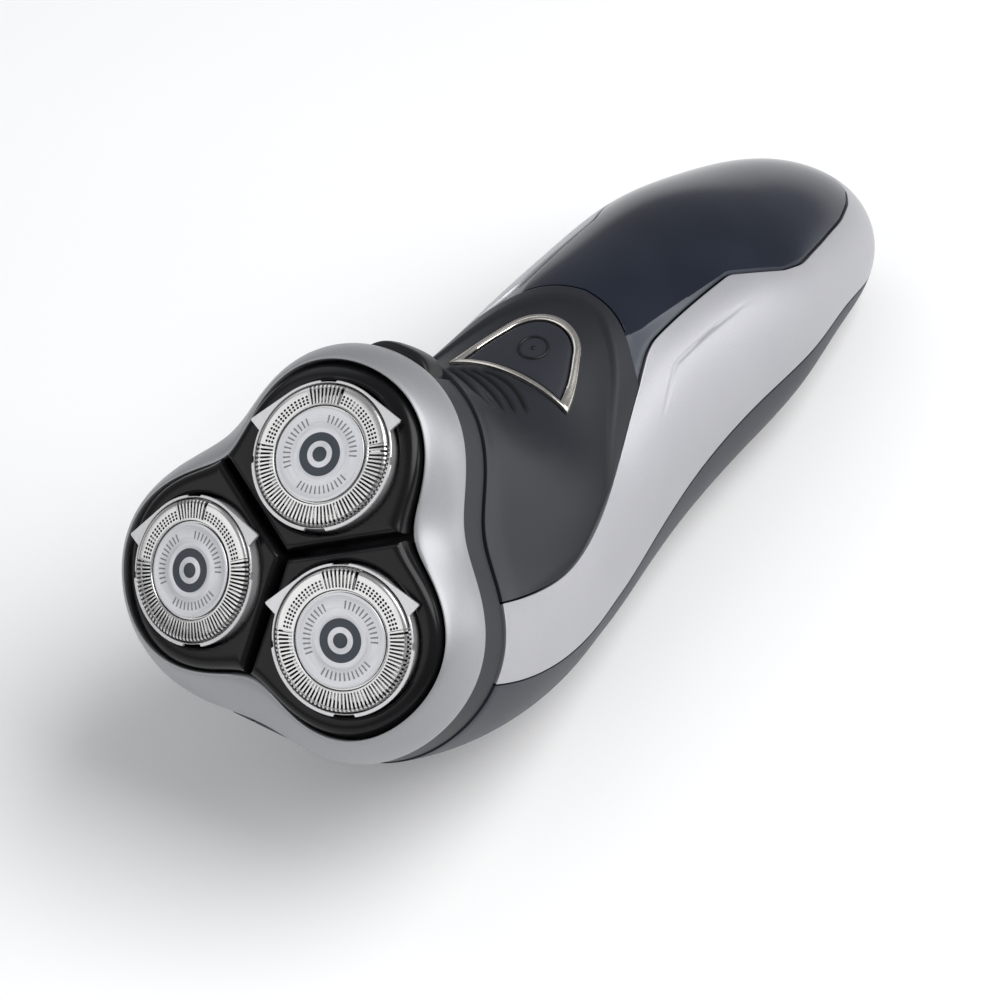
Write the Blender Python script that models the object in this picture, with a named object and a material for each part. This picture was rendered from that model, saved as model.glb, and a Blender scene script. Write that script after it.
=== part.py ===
"""Rotary shaver with three cutting heads, lying on its back.

Metres, +Z up. The origin is the middle of the footprint on the surface that it lies on. +Y runs to the
tail of the handle, +X to its right side, and the thumb side with the power button faces up. Sizes below
are in millimetres.
"""
import math

import bmesh
import bpy
import numpy as np
from mathutils import Matrix, Vector

MM = 0.001
GAP = 0.3                                   # clearance between neighbouring pieces

# ---- driving sizes of the head ----
HEAD_TILT = math.radians(45)                # the head faces forward and up by this angle
HEAD_CENTRE = (0.0, -71.8, 63.2)            # middle of the three guards' top plane
HEAD_PITCH = 27.5                           # distance between two cutting heads
DOME_TILT = math.radians(9)                 # each cutting head leans outwards by this angle
HEAD_ANGLES = (90, 210, 330)                # directions of the heads round the head centre
RADIUS_TO_HEAD = HEAD_PITCH / math.sqrt(3)

# Three-lobed outlines: mean radius, depth of the lobes, sharpness of the lobes.
PAD_OUTLINE = (25.4, 5.35, -0.8)
RING_OUTLINE = (29.2, 4.3, -0.6)
HINGE_BULGE = 2.3                           # the waist over the hinge is fuller than the other two
RING_TOP = -4.5                             # heights are measured along the head's own axis
RING_EDGE = -10.4
RING_FOOT = -11.6
PARTING = -18.2                             # where the head unit meets the handle

# ---- guards, cutters and pads ----
CAP_RADIUS = 10.75
FRAME_RADIUS = 11.3
EAR_RADIUS = 13.1
EAR_MIDDLE = 111                            # direction of the gap between the two ears, in degrees
EAR_SPREAD = 67
DISC_RADIUS = 7.1
PAD_TOP = -2.2                              # pad face below the guard's top
PAD_BOTTOM = -9.4
PAD_TILT_DEPTH = -5.0                       # each pad tips about a line this far under its guard's top
GROOVE = 1.8                                # width of the grooves between the pads

# ---- drive train ----
SHAFT_RADIUS_TO_AXIS = 15.0                 # drive shafts stand this far from the head's axis
PINION_TEETH = 9
GEAR_TEETH = 22
GEAR_MODULE = 2 * SHAFT_RADIUS_TO_AXIS / (PINION_TEETH + GEAR_TEETH)
GEAR_TOP = -21.4
GEAR_FOOT = -23.6
MOTOR_RADIUS = 12.0
MOTOR_TOP = -27.2
MOTOR_LENGTH = 25.0

# ---- handle: stations from the neck (s = 0) to the tail (s = 1) ----
# s, then y and z of the top line, y and z of the bottom line, and the half width
STATIONS = (
    (0.00, -35.5, 73.7, -77.7, 31.6, 29.8),
    (0.10, -29.3, 64.0, -59.8, 16.8, 28.5),
    (0.22, -19.8, 52.7, -35.8, 2.8, 26.5),
    (0.34, -7.8, 50.6, -11.8, -1.0, 23.7),
    (0.46, 7.2, 50.8, 6.2, -1.4, 22.2),
    (0.58, 24.2, 48.1, 24.2, -1.4, 22.2),
    (0.70, 42.2, 43.2, 42.2, -1.0, 22.3),
    (0.80, 58.2, 36.0, 58.2, -0.2, 19.8),
    (0.90, 77.2, 24.4, 77.2, 0.2, 14.0),
    (1.00, 85.5, 10.7, 85.5, 10.7, 0.0),
)
TAIL_SLOPES = (0.0, -140.0, 0.0, 140.0, -150.0)
SECTION_POWER = 2.08                        # 2 is an ellipse, more is squarer
NECK_BLEND = 0.26                           # the lobed neck has turned into an oval here
WALL = 1.6
MIDDLE_LINE = (0.0, 0.0, 25.0)              # a line along the inside of the handle; its y is not used
DRAFT = 0.4                                 # the inner edge of a panel lies this much further in than its outer edge

# ---- panel lines on the handle, as (s, degrees from the thumb side) ----
GRIP_SIDE = ((0.0, 82), (0.118, 75.5), (0.22, 61.5), (0.335, 50), (0.408, 42.5))
GRIP_REAR = ((0.408, 42.5), (0.425, 35), (0.442, 28), (0.463, 15), (0.472, 0))
GLOSS_SIDE = ((0.408, 42.5), (0.45, 37), (0.47, 35.5), (0.625, 35.5), (0.70, 48.5), (0.735, 52), (0.79, 50.8),
              (0.84, 48), (0.873, 43), (0.895, 36.5))
GLOSS_REAR = ((0.895, 36.5), (0.906, 27), (0.912, 14), (0.914, 0))
TRIM_LOWER = ((0.0, 104), (0.12, 102.5), (0.21, 100), (0.35, 97), (0.50, 94), (0.62, 92.5), (0.75, 94), (0.84, 99),
              (0.875, 106))
BACK_REAR = ((0.875, 106), (0.905, 125), (0.925, 150), (0.93, 180))
ROWS_GRIP = 7
ROWS_GLOSS = 12
COLUMNS = 13
BACK_COLUMNS = 15
ROWS_TRIM = 5

# ---- power button ----
BUTTON_FRONT = -13.6                        # y of its corners
BUTTON_HALF_WIDTH = 10.4
BUTTON_ARC_RADIUS = 7.3
BUTTON_ARC_Y = -6.6
BUTTON_HOLLOW = 0.8                         # the front edge curves in by this much
BEZEL_WIDTH = 0.9

LOBE_STEPS = 48
ROUND_STEPS = 24


# ---------------------------------------------------------------- small geometry helpers
def head_matrix():
    """The head's own frame: x to the right, y towards the thumb side, z out of the shaving face."""
    x_axis = Vector((1, 0, 0))
    y_axis = Vector((0, math.sin(HEAD_TILT), math.cos(HEAD_TILT)))
    z_axis = x_axis.cross(y_axis)
    frame = Matrix((x_axis, y_axis, z_axis)).transposed().to_4x4()
    frame.translation = Vector(HEAD_CENTRE)
    return frame


HEAD = head_matrix()


def polar(radius, degrees, z=0.0):
    angle = math.radians(degrees)
    return Vector((radius * math.cos(angle), radius * math.sin(angle), z))


def guard_matrix(degrees):
    """A cutting head's own frame, leaning outwards on the dome."""
    out = polar(1, degrees)
    axis = Vector((0, 0, 1)).cross(out)
    lean = Matrix.Rotation(DOME_TILT, 4, axis)
    return HEAD @ Matrix.Translation(polar(RADIUS_TO_HEAD, degrees)) @ lean


def outline_radius(outline, degrees, bulge=0.0):
    """Radius of a three-lobed outline; degrees are counted from the head's x axis."""
    mean, depth, sharpness = outline
    lobe = math.radians(3 * (degrees - 90))
    towards_hinge = max(0.0, math.cos(math.radians(degrees - 270)))
    return mean + depth * math.cos(lobe) + sharpness * math.cos(2 * lobe) + bulge * towards_hinge ** 6


def lobed_loop(outline, inset, z, bulge=HINGE_BULGE, steps=LOBE_STEPS):
    """A closed loop of points round the head, moved inwards by inset."""
    loop = []
    for step in range(steps):
        degrees = 360 * step / steps
        loop.append(polar(outline_radius(outline, degrees, bulge) - inset, degrees, z))
    return loop


def circle(radius, z, steps=ROUND_STEPS, centre=(0.0, 0.0)):
    return [Vector((centre[0], centre[1], 0)) + polar(radius, 360 * step / steps, z) for step in range(steps)]


def spline_through(knots, values, end_slope=None):
    """A smooth curve through values at knots; returns a function of the knot coordinate."""
    knots = np.asarray(knots, float)
    values = np.asarray(values, float)
    count = len(knots)
    spans = np.diff(knots)
    system = np.zeros((count, count))
    right = np.zeros(values.shape)
    system[0, 0] = 1
    system[-1, -1] = 1
    for k in range(1, count - 1):
        system[k, k - 1:k + 2] = (spans[k - 1], 2 * (spans[k - 1] + spans[k]), spans[k])
        right[k] = 6 * ((values[k + 1] - values[k]) / spans[k] - (values[k] - values[k - 1]) / spans[k - 1])
    if end_slope is not None:
        system[-1, -2:] = (spans[-1], 2 * spans[-1])
        right[-1] = 6 * (np.asarray(end_slope) - (values[-1] - values[-2]) / spans[-1])
    bend = np.linalg.solve(system, right)

    def curve(at):
        at = np.clip(np.asarray(at, float), knots[0], knots[-1])
        k = np.clip(np.searchsorted(knots, at, "right") - 1, 0, count - 2)
        step = (at - knots[k])[..., None]
        span = spans[k][..., None]
        slope = (values[k + 1] - values[k]) / span - span * (2 * bend[k] + bend[k + 1]) / 6
        return values[k] + step * slope + step ** 2 * bend[k] / 2 + step ** 3 * (bend[k + 1] - bend[k]) / (6 * span)

    return curve


# ---------------------------------------------------------------- handle surface
STATION_TABLE = np.array(STATIONS)
RAILS = spline_through(STATION_TABLE[:, 0], STATION_TABLE[:, 1:], TAIL_SLOPES)


def smooth_step(low, high, value):
    t = np.clip((value - low) / (high - low), 0, 1)
    return t * t * (3 - 2 * t)


def handle_point(s, degrees):
    """Point on the handle's outer surface; degrees are counted from the thumb side to the right side."""
    s, degrees = np.broadcast_arrays(np.asarray(s, float), np.asarray(degrees, float))
    rails = RAILS(s)
    top_y, top_z, low_y, low_z, half_width = (rails[..., k] for k in range(5))
    angle = np.radians(degrees)
    side = np.sin(angle)
    up = np.cos(angle)
    scale = (np.abs(side) ** SECTION_POWER + np.abs(up) ** SECTION_POWER) ** (-1 / SECTION_POWER)
    lobes = 3 * angle
    hinge_side = np.clip(-up, 0, 1) ** 6
    radius = RING_OUTLINE[0] + RING_OUTLINE[1] * np.cos(lobes) + RING_OUTLINE[2] * np.cos(2 * lobes)
    radius = radius + HINGE_BULGE * hinge_side
    tip = sum(RING_OUTLINE)
    heel = RING_OUTLINE[0] - RING_OUTLINE[1] + RING_OUTLINE[2] + HINGE_BULGE
    lobed_up = (radius * up - (tip - heel) / 2) / ((tip + heel) / 2)
    neck = 1 - smooth_step(0.0, NECK_BLEND, s)
    x = neck * radius * side + (1 - neck) * half_width * scale * side
    across = neck * lobed_up + (1 - neck) * scale * up
    y = (top_y + low_y) / 2 + (top_y - low_y) / 2 * across
    z = (top_z + low_z) / 2 + (top_z - low_z) / 2 * across
    return np.stack([x, y, np.maximum(z, 0.0)], -1)


def top_height(x, y):
    """Height of the thumb side over a point of the plan, found by stepping along the surface."""
    s = np.full(np.shape(x), 0.36)
    degrees = np.zeros(np.shape(x))
    for _ in range(12):
        here = handle_point(s, degrees)
        along = (handle_point(s + 0.002, degrees) - here) / 0.002
        round_it = (handle_point(s, degrees + 0.5) - here) / 0.5
        miss_x = x - here[..., 0]
        miss_y = y - here[..., 1]
        det = along[..., 0] * round_it[..., 1] - along[..., 1] * round_it[..., 0]
        s = s + (miss_x * round_it[..., 1] - miss_y * round_it[..., 0]) / det
        degrees = degrees + (along[..., 0] * miss_y - along[..., 1] * miss_x) / det
    return handle_point(s, degrees)[..., 2]


def sample_line(points, count):
    """Points spread evenly along a broken line of (s, degrees), with 100 degrees weighing as much as s = 1."""
    points = np.asarray(points, float)
    steps = np.hypot(np.diff(points[:, 0]), np.diff(points[:, 1]) / 100)
    length = np.concatenate([[0], np.cumsum(steps)])
    at = np.linspace(0, length[-1], count)
    return np.stack([np.interp(at, length, points[:, k]) for k in range(2)], 1)


def sample_curve(points, count):
    """Points along a smooth curve through (s, degrees) points."""
    points = np.asarray(points, float)
    steps = np.hypot(np.diff(points[:, 0]), np.diff(points[:, 1]) / 100)
    length = np.concatenate([[0], np.cumsum(steps)])
    return spline_through(length, points)(np.linspace(0, length[-1], count))


def mirrored(line):
    return line * np.array([1, -1])


def both_sides(right_half):
    """A line from the left to the right, made of a right half that ends on the middle line."""
    left = mirrored(right_half)
    return np.concatenate([left, right_half[::-1][1:]])


def fill_between(front, rear, left, right):
    """A grid of (s, degrees) spanned by four border lines."""
    rows = len(left)
    columns = len(front)
    v = np.linspace(0, 1, rows)[:, None, None]
    u = np.linspace(0, 1, columns)[None, :, None]
    ruled = (1 - v) * front[None] + v * rear[None] + (1 - u) * left[:, None] + u * right[:, None]
    corners = (1 - v) * ((1 - u) * front[0] + u * front[-1]) + v * ((1 - u) * rear[0] + u * rear[-1])
    return ruled - corners


def across_trim(upper, lower, rows):
    """The side trim's grid: straight rulings that pass round the tail without meeting in one point."""
    v = np.linspace(0, 1, rows)[:, None, None]
    flat = (1 - v) * upper[None] + v * lower[None]

    def on_disc(line):
        angle = np.radians(line[:, 1])
        return (1 - line[:, :1]) * np.stack([np.sin(angle), np.cos(angle)], 1)

    disc = (1 - v) * on_disc(upper)[None] + v * on_disc(lower)[None]
    disc_s = 1 - np.hypot(disc[..., 0], disc[..., 1])
    flat_points = handle_point(flat[..., 0], flat[..., 1])
    disc_points = handle_point(disc_s, np.degrees(np.arctan2(disc[..., 0], disc[..., 1])))
    near_tail = smooth_step(0.6, 0.85, (upper[:, 0] + lower[:, 0]) / 2)[None, :, None]
    return (1 - near_tail) * flat_points + near_tail * disc_points


# ---------------------------------------------------------------- mesh helpers
def new_object(name, vertices, faces, material, matrix=None, smooth=True, angle=35):
    """A closed mesh object from points in millimetres; the matrix places them in the world."""
    mesh = bpy.data.meshes.new(name)
    if matrix is not None:
        vertices = [matrix @ Vector(point) for point in vertices]
    mesh.from_pydata([tuple(float(value) * MM for value in point) for point in vertices], [], faces)
    body = bmesh.new()
    body.from_mesh(mesh)
    bmesh.ops.remove_doubles(body, verts=body.verts, dist=1e-6)
    bmesh.ops.recalc_face_normals(body, faces=body.faces)
    body.to_mesh(mesh)
    body.free()
    mesh.materials.append(material)
    if smooth:
        mesh.shade_smooth()
        mesh.set_sharp_from_angle(angle=math.radians(angle))
    obj = bpy.data.objects.new(name, mesh)
    bpy.context.scene.collection.objects.link(obj)
    return obj


def stacked_loops(loops, close=False):
    """Skins a stack of loops with the same number of points; the ends are capped unless it closes on itself."""
    count = len(loops[0])
    vertices = [point for loop in loops for point in loop]
    faces = []
    rings = len(loops) if close else len(loops) - 1
    for ring in range(rings):
        low = ring * count
        high = ((ring + 1) % len(loops)) * count
        for k in range(count):
            n = (k + 1) % count
            faces.append((low + k, low + n, high + n, high + k))
    if not close:
        faces.append(tuple(range(count)))
        faces.append(tuple(range((len(loops) - 1) * count, len(loops) * count)))
    return vertices, faces


def loops_object(name, loops, material, matrix=None, close=False, smooth=True):
    vertices, faces = stacked_loops(loops, close)
    return new_object(name, vertices, faces, material, matrix, smooth)


def turned(name, profile, material, matrix=None, steps=ROUND_STEPS):
    """A turned piece: the profile is a closed list of (radius, z), or starts and ends at radius 0."""
    if profile[0][0] == 0 and profile[-1][0] == 0:
        loops = [circle(radius, z, steps) for radius, z in profile[1:-1]]
        return loops_object(name, loops, material, matrix)
    loops = [circle(radius, z, steps) for radius, z in profile]
    return loops_object(name, loops, material, matrix, close=True)


def drawn_in(grid, inset):
    """Moves the four borders of a grid of points inwards over its surface."""
    moved = grid.copy()
    for axis in (0, 1):
        lines = np.moveaxis(grid, axis, 0)
        shifts = np.moveaxis(moved, axis, 0)
        for edge, inner in ((0, 1), (-1, -2)):
            line = lines[edge]
            tangent = np.concatenate([line[1:], line[-1:]]) - np.concatenate([line[:1], line[:-1]])
            tangent = tangent / np.linalg.norm(tangent, axis=-1, keepdims=True)
            inward = lines[inner] - line
            square = inward - tangent * np.sum(inward * tangent, axis=-1, keepdims=True)
            shifts[edge] += inset * square / np.linalg.norm(square, axis=-1, keepdims=True)
    return moved


def shell_object(name, grid, wall, material):
    """A wall of even thickness under a grid of surface points, with a little draft round its inner edge."""
    moved = drawn_in(np.array(grid), GAP / 2)
    rows, columns = moved.shape[:2]
    normals = np.cross(np.gradient(moved, axis=0), np.gradient(moved, axis=1))
    normals /= np.linalg.norm(normals, axis=-1, keepdims=True)
    from_the_middle_line = moved - np.where([False, True, False], moved, MIDDLE_LINE)
    if np.mean(np.sum(normals * from_the_middle_line, axis=-1)) < 0:
        normals = -normals
    inside = drawn_in(moved - normals * wall, DRAFT)
    vertices = [tuple(point) for point in moved.reshape(-1, 3)]
    vertices += [tuple(point) for point in inside.reshape(-1, 3)]
    count = rows * columns
    faces = []
    for i in range(rows - 1):
        for j in range(columns - 1):
            a = i * columns + j
            quad = (a, a + 1, a + columns + 1, a + columns)
            faces.append(quad)
            faces.append(tuple(count + k for k in reversed(quad)))
    rim = [j for j in range(columns)]
    rim += [i * columns + columns - 1 for i in range(1, rows)]
    rim += [(rows - 1) * columns + j for j in range(columns - 2, -1, -1)]
    rim += [i * columns for i in range(rows - 2, 0, -1)]
    for k, a in enumerate(rim):
        b = rim[(k + 1) % len(rim)]
        faces.append((a, b, count + b, count + a))
    return new_object(name, vertices, faces, material)


def box_object(name, low, high, material, matrix=None):
    loops = []
    for z in (low[2], high[2]):
        loops.append([Vector((low[0], low[1], z)), Vector((high[0], low[1], z)),
                      Vector((high[0], high[1], z)), Vector((low[0], high[1], z))])
    return loops_object(name, loops, material, matrix, smooth=False)


def rod_object(name, start, end, radius, material, steps=20):
    start = Vector(start)
    end = Vector(end)
    turn = (end - start).to_track_quat("Z", "Y").to_matrix().to_4x4()
    place = Matrix.Translation(start) @ turn
    length = (end - start).length
    return loops_object(name, [circle(radius, 0, steps), circle(radius, length, steps)], material, place)


def boolean(target, tool, operation):
    """Cuts or joins and keeps the result as the target's own mesh."""
    modifier = target.modifiers.new(operation.lower(), "BOOLEAN")
    modifier.operation = operation
    modifier.solver = "EXACT"
    modifier.object = tool
    bpy.context.view_layer.update()
    evaluated = target.evaluated_get(bpy.context.evaluated_depsgraph_get())
    result = bpy.data.meshes.new_from_object(evaluated)
    target.modifiers.clear()
    target.data = result
    bpy.data.objects.remove(tool)
    body = bmesh.new()
    body.from_mesh(result)
    bmesh.ops.remove_doubles(body, verts=body.verts, dist=2e-6)
    bmesh.ops.dissolve_degenerate(body, edges=body.edges, dist=1e-6)
    bmesh.ops.triangulate(body, faces=[face for face in body.faces if len(face.verts) > 4])
    body.to_mesh(result)
    body.free()
    result.shade_smooth()
    result.set_sharp_from_angle(angle=math.radians(35))


def cut(target, tool):
    boolean(target, tool, "DIFFERENCE")


def join(target, tool):
    boolean(target, tool, "UNION")


def finish(name, colour, roughness, metallic=0.0):
    material = bpy.data.materials.new(name)
    material.use_nodes = True
    shader = material.node_tree.nodes["Principled BSDF"]
    shader.inputs["Base Color"].default_value = (*colour, 1.0)
    shader.inputs["Roughness"].default_value = roughness
    shader.inputs["Metallic"].default_value = metallic
    return material


def joint_axis(name, place):
    """An empty on a joint's axis; the moving pieces hang on it."""
    empty = bpy.data.objects.new(name, None)
    empty.empty_display_size = 0.005
    place = place.copy()
    place.translation = place.translation * MM
    empty.matrix_world = place
    bpy.context.scene.collection.objects.link(empty)
    bpy.context.view_layer.update()
    return empty


def hang(pieces, empty):
    for piece in pieces:
        piece.parent = empty
        piece.matrix_parent_inverse = empty.matrix_world.inverted()


# ---------------------------------------------------------------- head unit
def make_head_ring(material):
    """The satin ring: a broad sloping band between the pads' opening and its outer edge."""
    loops = []
    for share, z in ((0.0, RING_TOP), (0.35, RING_TOP - 1.2), (0.75, -7.8), (1.0, RING_EDGE),
                     (0.98, RING_FOOT)):
        loop = []
        for step in range(LOBE_STEPS):
            degrees = 360 * step / LOBE_STEPS
            inner = outline_radius(PAD_OUTLINE, degrees)
            outer = outline_radius(RING_OUTLINE, degrees, HINGE_BULGE)
            loop.append(polar(inner + share * (outer - inner), degrees, z))
        loops.append(loop)
    loops.append(lobed_loop(PAD_OUTLINE, -0.4, RING_FOOT, 0))
    loops.append(lobed_loop(PAD_OUTLINE, -0.1, RING_TOP - 0.8, 0))
    return loops_object("head_ring", loops, material, HEAD, close=True)


HINGE_Y = -(RING_OUTLINE[0] - RING_OUTLINE[1] + RING_OUTLINE[2] + HINGE_BULGE) - 0.4
HINGE_BARREL = 1.5
KNUCKLE_HALF = 4.0
BRACKET_HALF = 8.0


def barrel(name, x_low, x_high, radius, material):
    start = HEAD @ Vector((x_low, HINGE_Y, PARTING))
    end = HEAD @ Vector((x_high, HINGE_Y, PARTING))
    return rod_object(name, start, end, radius, material, 16)


def make_hair_chamber(material):
    """The dark collar under the ring: an open cup that catches the hair, with a deck under the pads."""
    top = RING_FOOT - GAP
    foot = PARTING + GAP / 2
    cup = loops_object("hair_chamber", [lobed_loop(RING_OUTLINE, 0.3, foot), lobed_loop(RING_OUTLINE, 0.3, top)],
                       material, HEAD)
    inside = [lobed_loop(RING_OUTLINE, 2.0, foot - 1), lobed_loop(RING_OUTLINE, 2.0, top - 1.2)]
    cut(cup, loops_object("inside", inside, material, HEAD))
    for degrees in HEAD_ANGLES:
        centre = polar(SHAFT_RADIUS_TO_AXIS, degrees)
        hole = [circle(10.6, top - 3, 20, centre), circle(10.6, top + 1, 20, centre)]
        cut(cup, loops_object("hole", hole, material, HEAD))
    notch_low = (-RELEASE_HALF - 0.4, RELEASE_BACK - RELEASE_TRAVEL - GAP, PARTING - 1)
    notch_high = (RELEASE_HALF + 0.4, 40.0, RELEASE_TOP + 0.4)
    cut(cup, box_object("notch", notch_low, notch_high, material, HEAD))
    cut(cup, barrel("clear", -BRACKET_HALF - GAP, BRACKET_HALF + GAP, HINGE_BARREL + 0.4, material))
    knuckle = barrel("knuckle", -KNUCKLE_HALF, KNUCKLE_HALF, HINGE_BARREL, material)
    web = box_object("web", (-KNUCKLE_HALF, HINGE_Y + 0.2, PARTING + 0.5), (KNUCKLE_HALF, HINGE_Y + 1.3, -14.5),
                     material, HEAD)
    join(knuckle, web)
    join(cup, knuckle)
    cut(cup, barrel("bore", -KNUCKLE_HALF - 1, KNUCKLE_HALF + 1, 0.95, material))
    return cup


def pad_outline(degrees, inset):
    """Outline of one pad in the head's plane: its lobe, cut off along the two grooves."""
    points = []
    steps = 22
    for step in range(steps + 1):
        off = -60 + 120 * step / steps
        radius = outline_radius(PAD_OUTLINE, degrees + off) - inset
        sideways = radius * math.sin(math.radians(60 - abs(off)))
        if sideways < GROOVE / 2:
            angle_in = math.radians(60)
            reach = math.sqrt(max(radius ** 2 - (GROOVE / 2) ** 2, 0))
            along = Vector((reach * math.cos(angle_in), reach * math.sin(angle_in), 0))
            shift = Vector((math.sin(angle_in), -math.cos(angle_in), 0)) * (GROOVE / 2)
            point = along + shift
            if off < 0:
                point.y = -point.y
        else:
            point = polar(radius, off)
        points.append(Matrix.Rotation(math.radians(degrees), 4, "Z") @ point)
    tip = (GROOVE / 2) / math.sin(math.radians(60))
    points.append(polar(tip, degrees))
    return points


def make_pad(number, degrees, material):
    """A gloss black plate round one cutting head; its face lies square to that head."""
    slope = math.tan(DOME_TILT)
    out = polar(1, degrees)
    loops = []
    for inset, drop, level in ((0.6, 0, PAD_BOTTOM), (0.5, 1.3, None), (0.9, 0.35, None), (1.6, 0.0, None)):
        loop = []
        for point in pad_outline(degrees, inset):
            face = PAD_TOP - (point.dot(out) - RADIUS_TO_HEAD) * slope
            loop.append(Vector((point.x, point.y, level if level is not None else face - drop)))
        loops.append(loop)
    pad = loops_object(f"head_pad_{number}", loops, material, HEAD)
    place = guard_matrix(degrees)
    hole = [circle(FRAME_RADIUS + GAP, -14, 30), circle(FRAME_RADIUS + GAP, 3, 30)]
    cut(pad, loops_object("hole", hole, material, place))
    return pad


def make_guard_frame(number, degrees, material):
    """The bright holder round a guard, with its two pointed ears and its four notches."""
    place = guard_matrix(degrees)
    outer = []
    steps = 40
    for step in range(steps):
        angle = 360 * step / steps
        radius = FRAME_RADIUS
        for ear in (EAR_MIDDLE - EAR_SPREAD, EAR_MIDDLE + EAR_SPREAD):
            off = abs((angle - ear + 180) % 360 - 180)
            radius = max(radius, EAR_RADIUS - 0.135 * off)
        outer.append(polar(radius, angle))
    top, flange, foot = -0.5, -1.1, -6.0
    bore = CAP_RADIUS + 0.15
    loops = [circle(bore, foot, steps), circle(FRAME_RADIUS, foot, steps), circle(FRAME_RADIUS, flange, steps),
             [point + Vector((0, 0, flange + 0.05)) for point in outer],
             [point + Vector((0, 0, top)) for point in outer], circle(bore, top, steps)]
    return loops_object(f"guard_frame_{number}", loops, material, place, close=True)


def make_guard_cap(number, degrees, material):
    """The steel guard: a thin cup with a raised track where the hair is cut."""
    profile = ((CAP_RADIUS, -5.4), (CAP_RADIUS, -0.9), (CAP_RADIUS - 0.9, 0.0), (DISC_RADIUS + 0.5, 0.0),
               (DISC_RADIUS + 0.3, -0.35), (DISC_RADIUS - 1.0, -0.35), (DISC_RADIUS - 1.0, -0.75),
               (CAP_RADIUS - 0.5, -0.9), (CAP_RADIUS - 0.5, -5.4))
    return turned(f"guard_cap_{number}", profile, material, guard_matrix(degrees), 24)


def make_guard_disc(number, degrees, material):
    """The plain centre disc set into the guard."""
    profile = ((0, -0.05), (DISC_RADIUS, -0.05), (DISC_RADIUS - 0.2, 0.14), (4.2, 0.14), (3.9, 0.06), (0, 0.06))
    return turned(f"guard_disc_{number}", profile, material, guard_matrix(degrees), 20)


CUTTER_BLADES = 6


def make_cutter(number, degrees, material):
    """The rotating cutter: a dished disc with a crown of upright blades and a socket for its drive shaft."""
    place = guard_matrix(degrees)
    profile = ((2.2, -6.6), (3.4, -6.6), (3.4, -3.6), (9.4, -3.2), (9.4, -2.6), (3.4, -2.9), (2.0, -2.9), (2.2, -3.6))
    cutter = turned(f"cutter_{number}", profile, material, place, 18)
    for blade in range(CUTTER_BLADES):
        turn = place @ Matrix.Rotation(2 * math.pi * blade / CUTTER_BLADES, 4, "Z")
        join(cutter, box_object("blade", (7.8, -0.35, -3.0), (9.3, 0.35, -1.05), material, turn))
    return cutter


def make_retaining_frame(material):
    """The spider that holds the cutters in the head unit: three rings, three arms and a hub."""
    top = -13.6
    foot = -14.8
    frame = loops_object("retaining_frame", [circle(7.4, foot, 24), circle(7.4, top, 24)], material, HEAD)
    for degrees in HEAD_ANGLES:
        centre = polar(SHAFT_RADIUS_TO_AXIS, degrees)
        ring = [circle(8.4, foot, 20, centre), circle(8.4, top, 20, centre)]
        join(frame, loops_object("ring", ring, material, HEAD))
    for degrees in HEAD_ANGLES:
        centre = polar(SHAFT_RADIUS_TO_AXIS, degrees)
        hole = [circle(5.6, foot - 1, 16, centre), circle(5.6, top + 1, 16, centre)]
        cut(frame, loops_object("hole", hole, material, HEAD))
    hub = [circle(1.6, foot - 1, 16), circle(1.6, top + 1, 16)]
    cut(frame, loops_object("hub_hole", hub, material, HEAD))
    return frame


def make_frame_lock(material):
    """The small wing knob that locks the retaining frame; its post passes through the hub."""
    profile = ((0, -17.4), (3.4, -17.4), (3.4, -15.1), (1.3, -15.1), (1.3, -13.3), (0, -13.3))
    lock = turned("frame_lock", profile, material, HEAD, 24)
    join(lock, box_object("wing", (-4.6, -0.8, -17.2), (4.6, 0.8, -15.3), material, HEAD))
    return lock


# ---------------------------------------------------------------- drive train
def gear_outline(teeth, phase_degrees):
    """Straight-sided teeth with play, one of them centred on the phase direction."""
    pitch_radius = GEAR_MODULE * teeth / 2
    root = pitch_radius - 1.15 * GEAR_MODULE
    tip = pitch_radius + 0.8 * GEAR_MODULE
    pitch = 360 / teeth
    points = []
    for tooth in range(teeth):
        middle = phase_degrees + tooth * pitch
        for share, radius in ((-0.27, root), (-0.11, tip), (0.11, tip), (0.27, root)):
            points.append(polar(radius, middle + share * pitch))
    return points


def gear_loops(teeth, phase_degrees, centre):
    points = gear_outline(teeth, phase_degrees)
    shift = Vector((centre[0], centre[1], 0))
    return [[point + shift + Vector((0, 0, z)) for point in points] for z in (GEAR_FOOT, GEAR_TOP)]


def make_gear(number, degrees, material):
    """A drive gear; the gap between two of its teeth faces the pinion."""
    centre = polar(SHAFT_RADIUS_TO_AXIS, degrees)
    facing = degrees + 180 + 180 / GEAR_TEETH
    gear = loops_object(f"drive_gear_{number}", gear_loops(GEAR_TEETH, facing, centre), material, HEAD, smooth=False)
    bore = [circle(1.75, GEAR_FOOT - 1, 12, centre), circle(1.75, GEAR_TOP + 1, 12, centre)]
    cut(gear, loops_object("bore", bore, material, HEAD))
    return gear


def make_drive_shaft(number, degrees, material):
    """The shaft that stands in a gear and reaches up into its cutter."""
    centre = polar(SHAFT_RADIUS_TO_AXIS, degrees)
    place = HEAD @ Matrix.Translation(centre)
    profile = ((0, -24.6), (1.45, -24.6), (1.45, -9.6), (1.25, -9.0), (1.1, -5.9), (0, -5.9))
    return turned(f"drive_shaft_{number}", profile, material, place, 12)


def make_pinion(material):
    pinion = loops_object("motor_pinion", gear_loops(PINION_TEETH, HEAD_ANGLES[0], (0, 0)), material, HEAD,
                          smooth=False)
    shaft = [circle(1.0, MOTOR_TOP + GAP, 16), circle(1.0, GEAR_TOP + 0.6, 16)]
    join(pinion, loops_object("shaft", shaft, material, HEAD))
    return pinion


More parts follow.
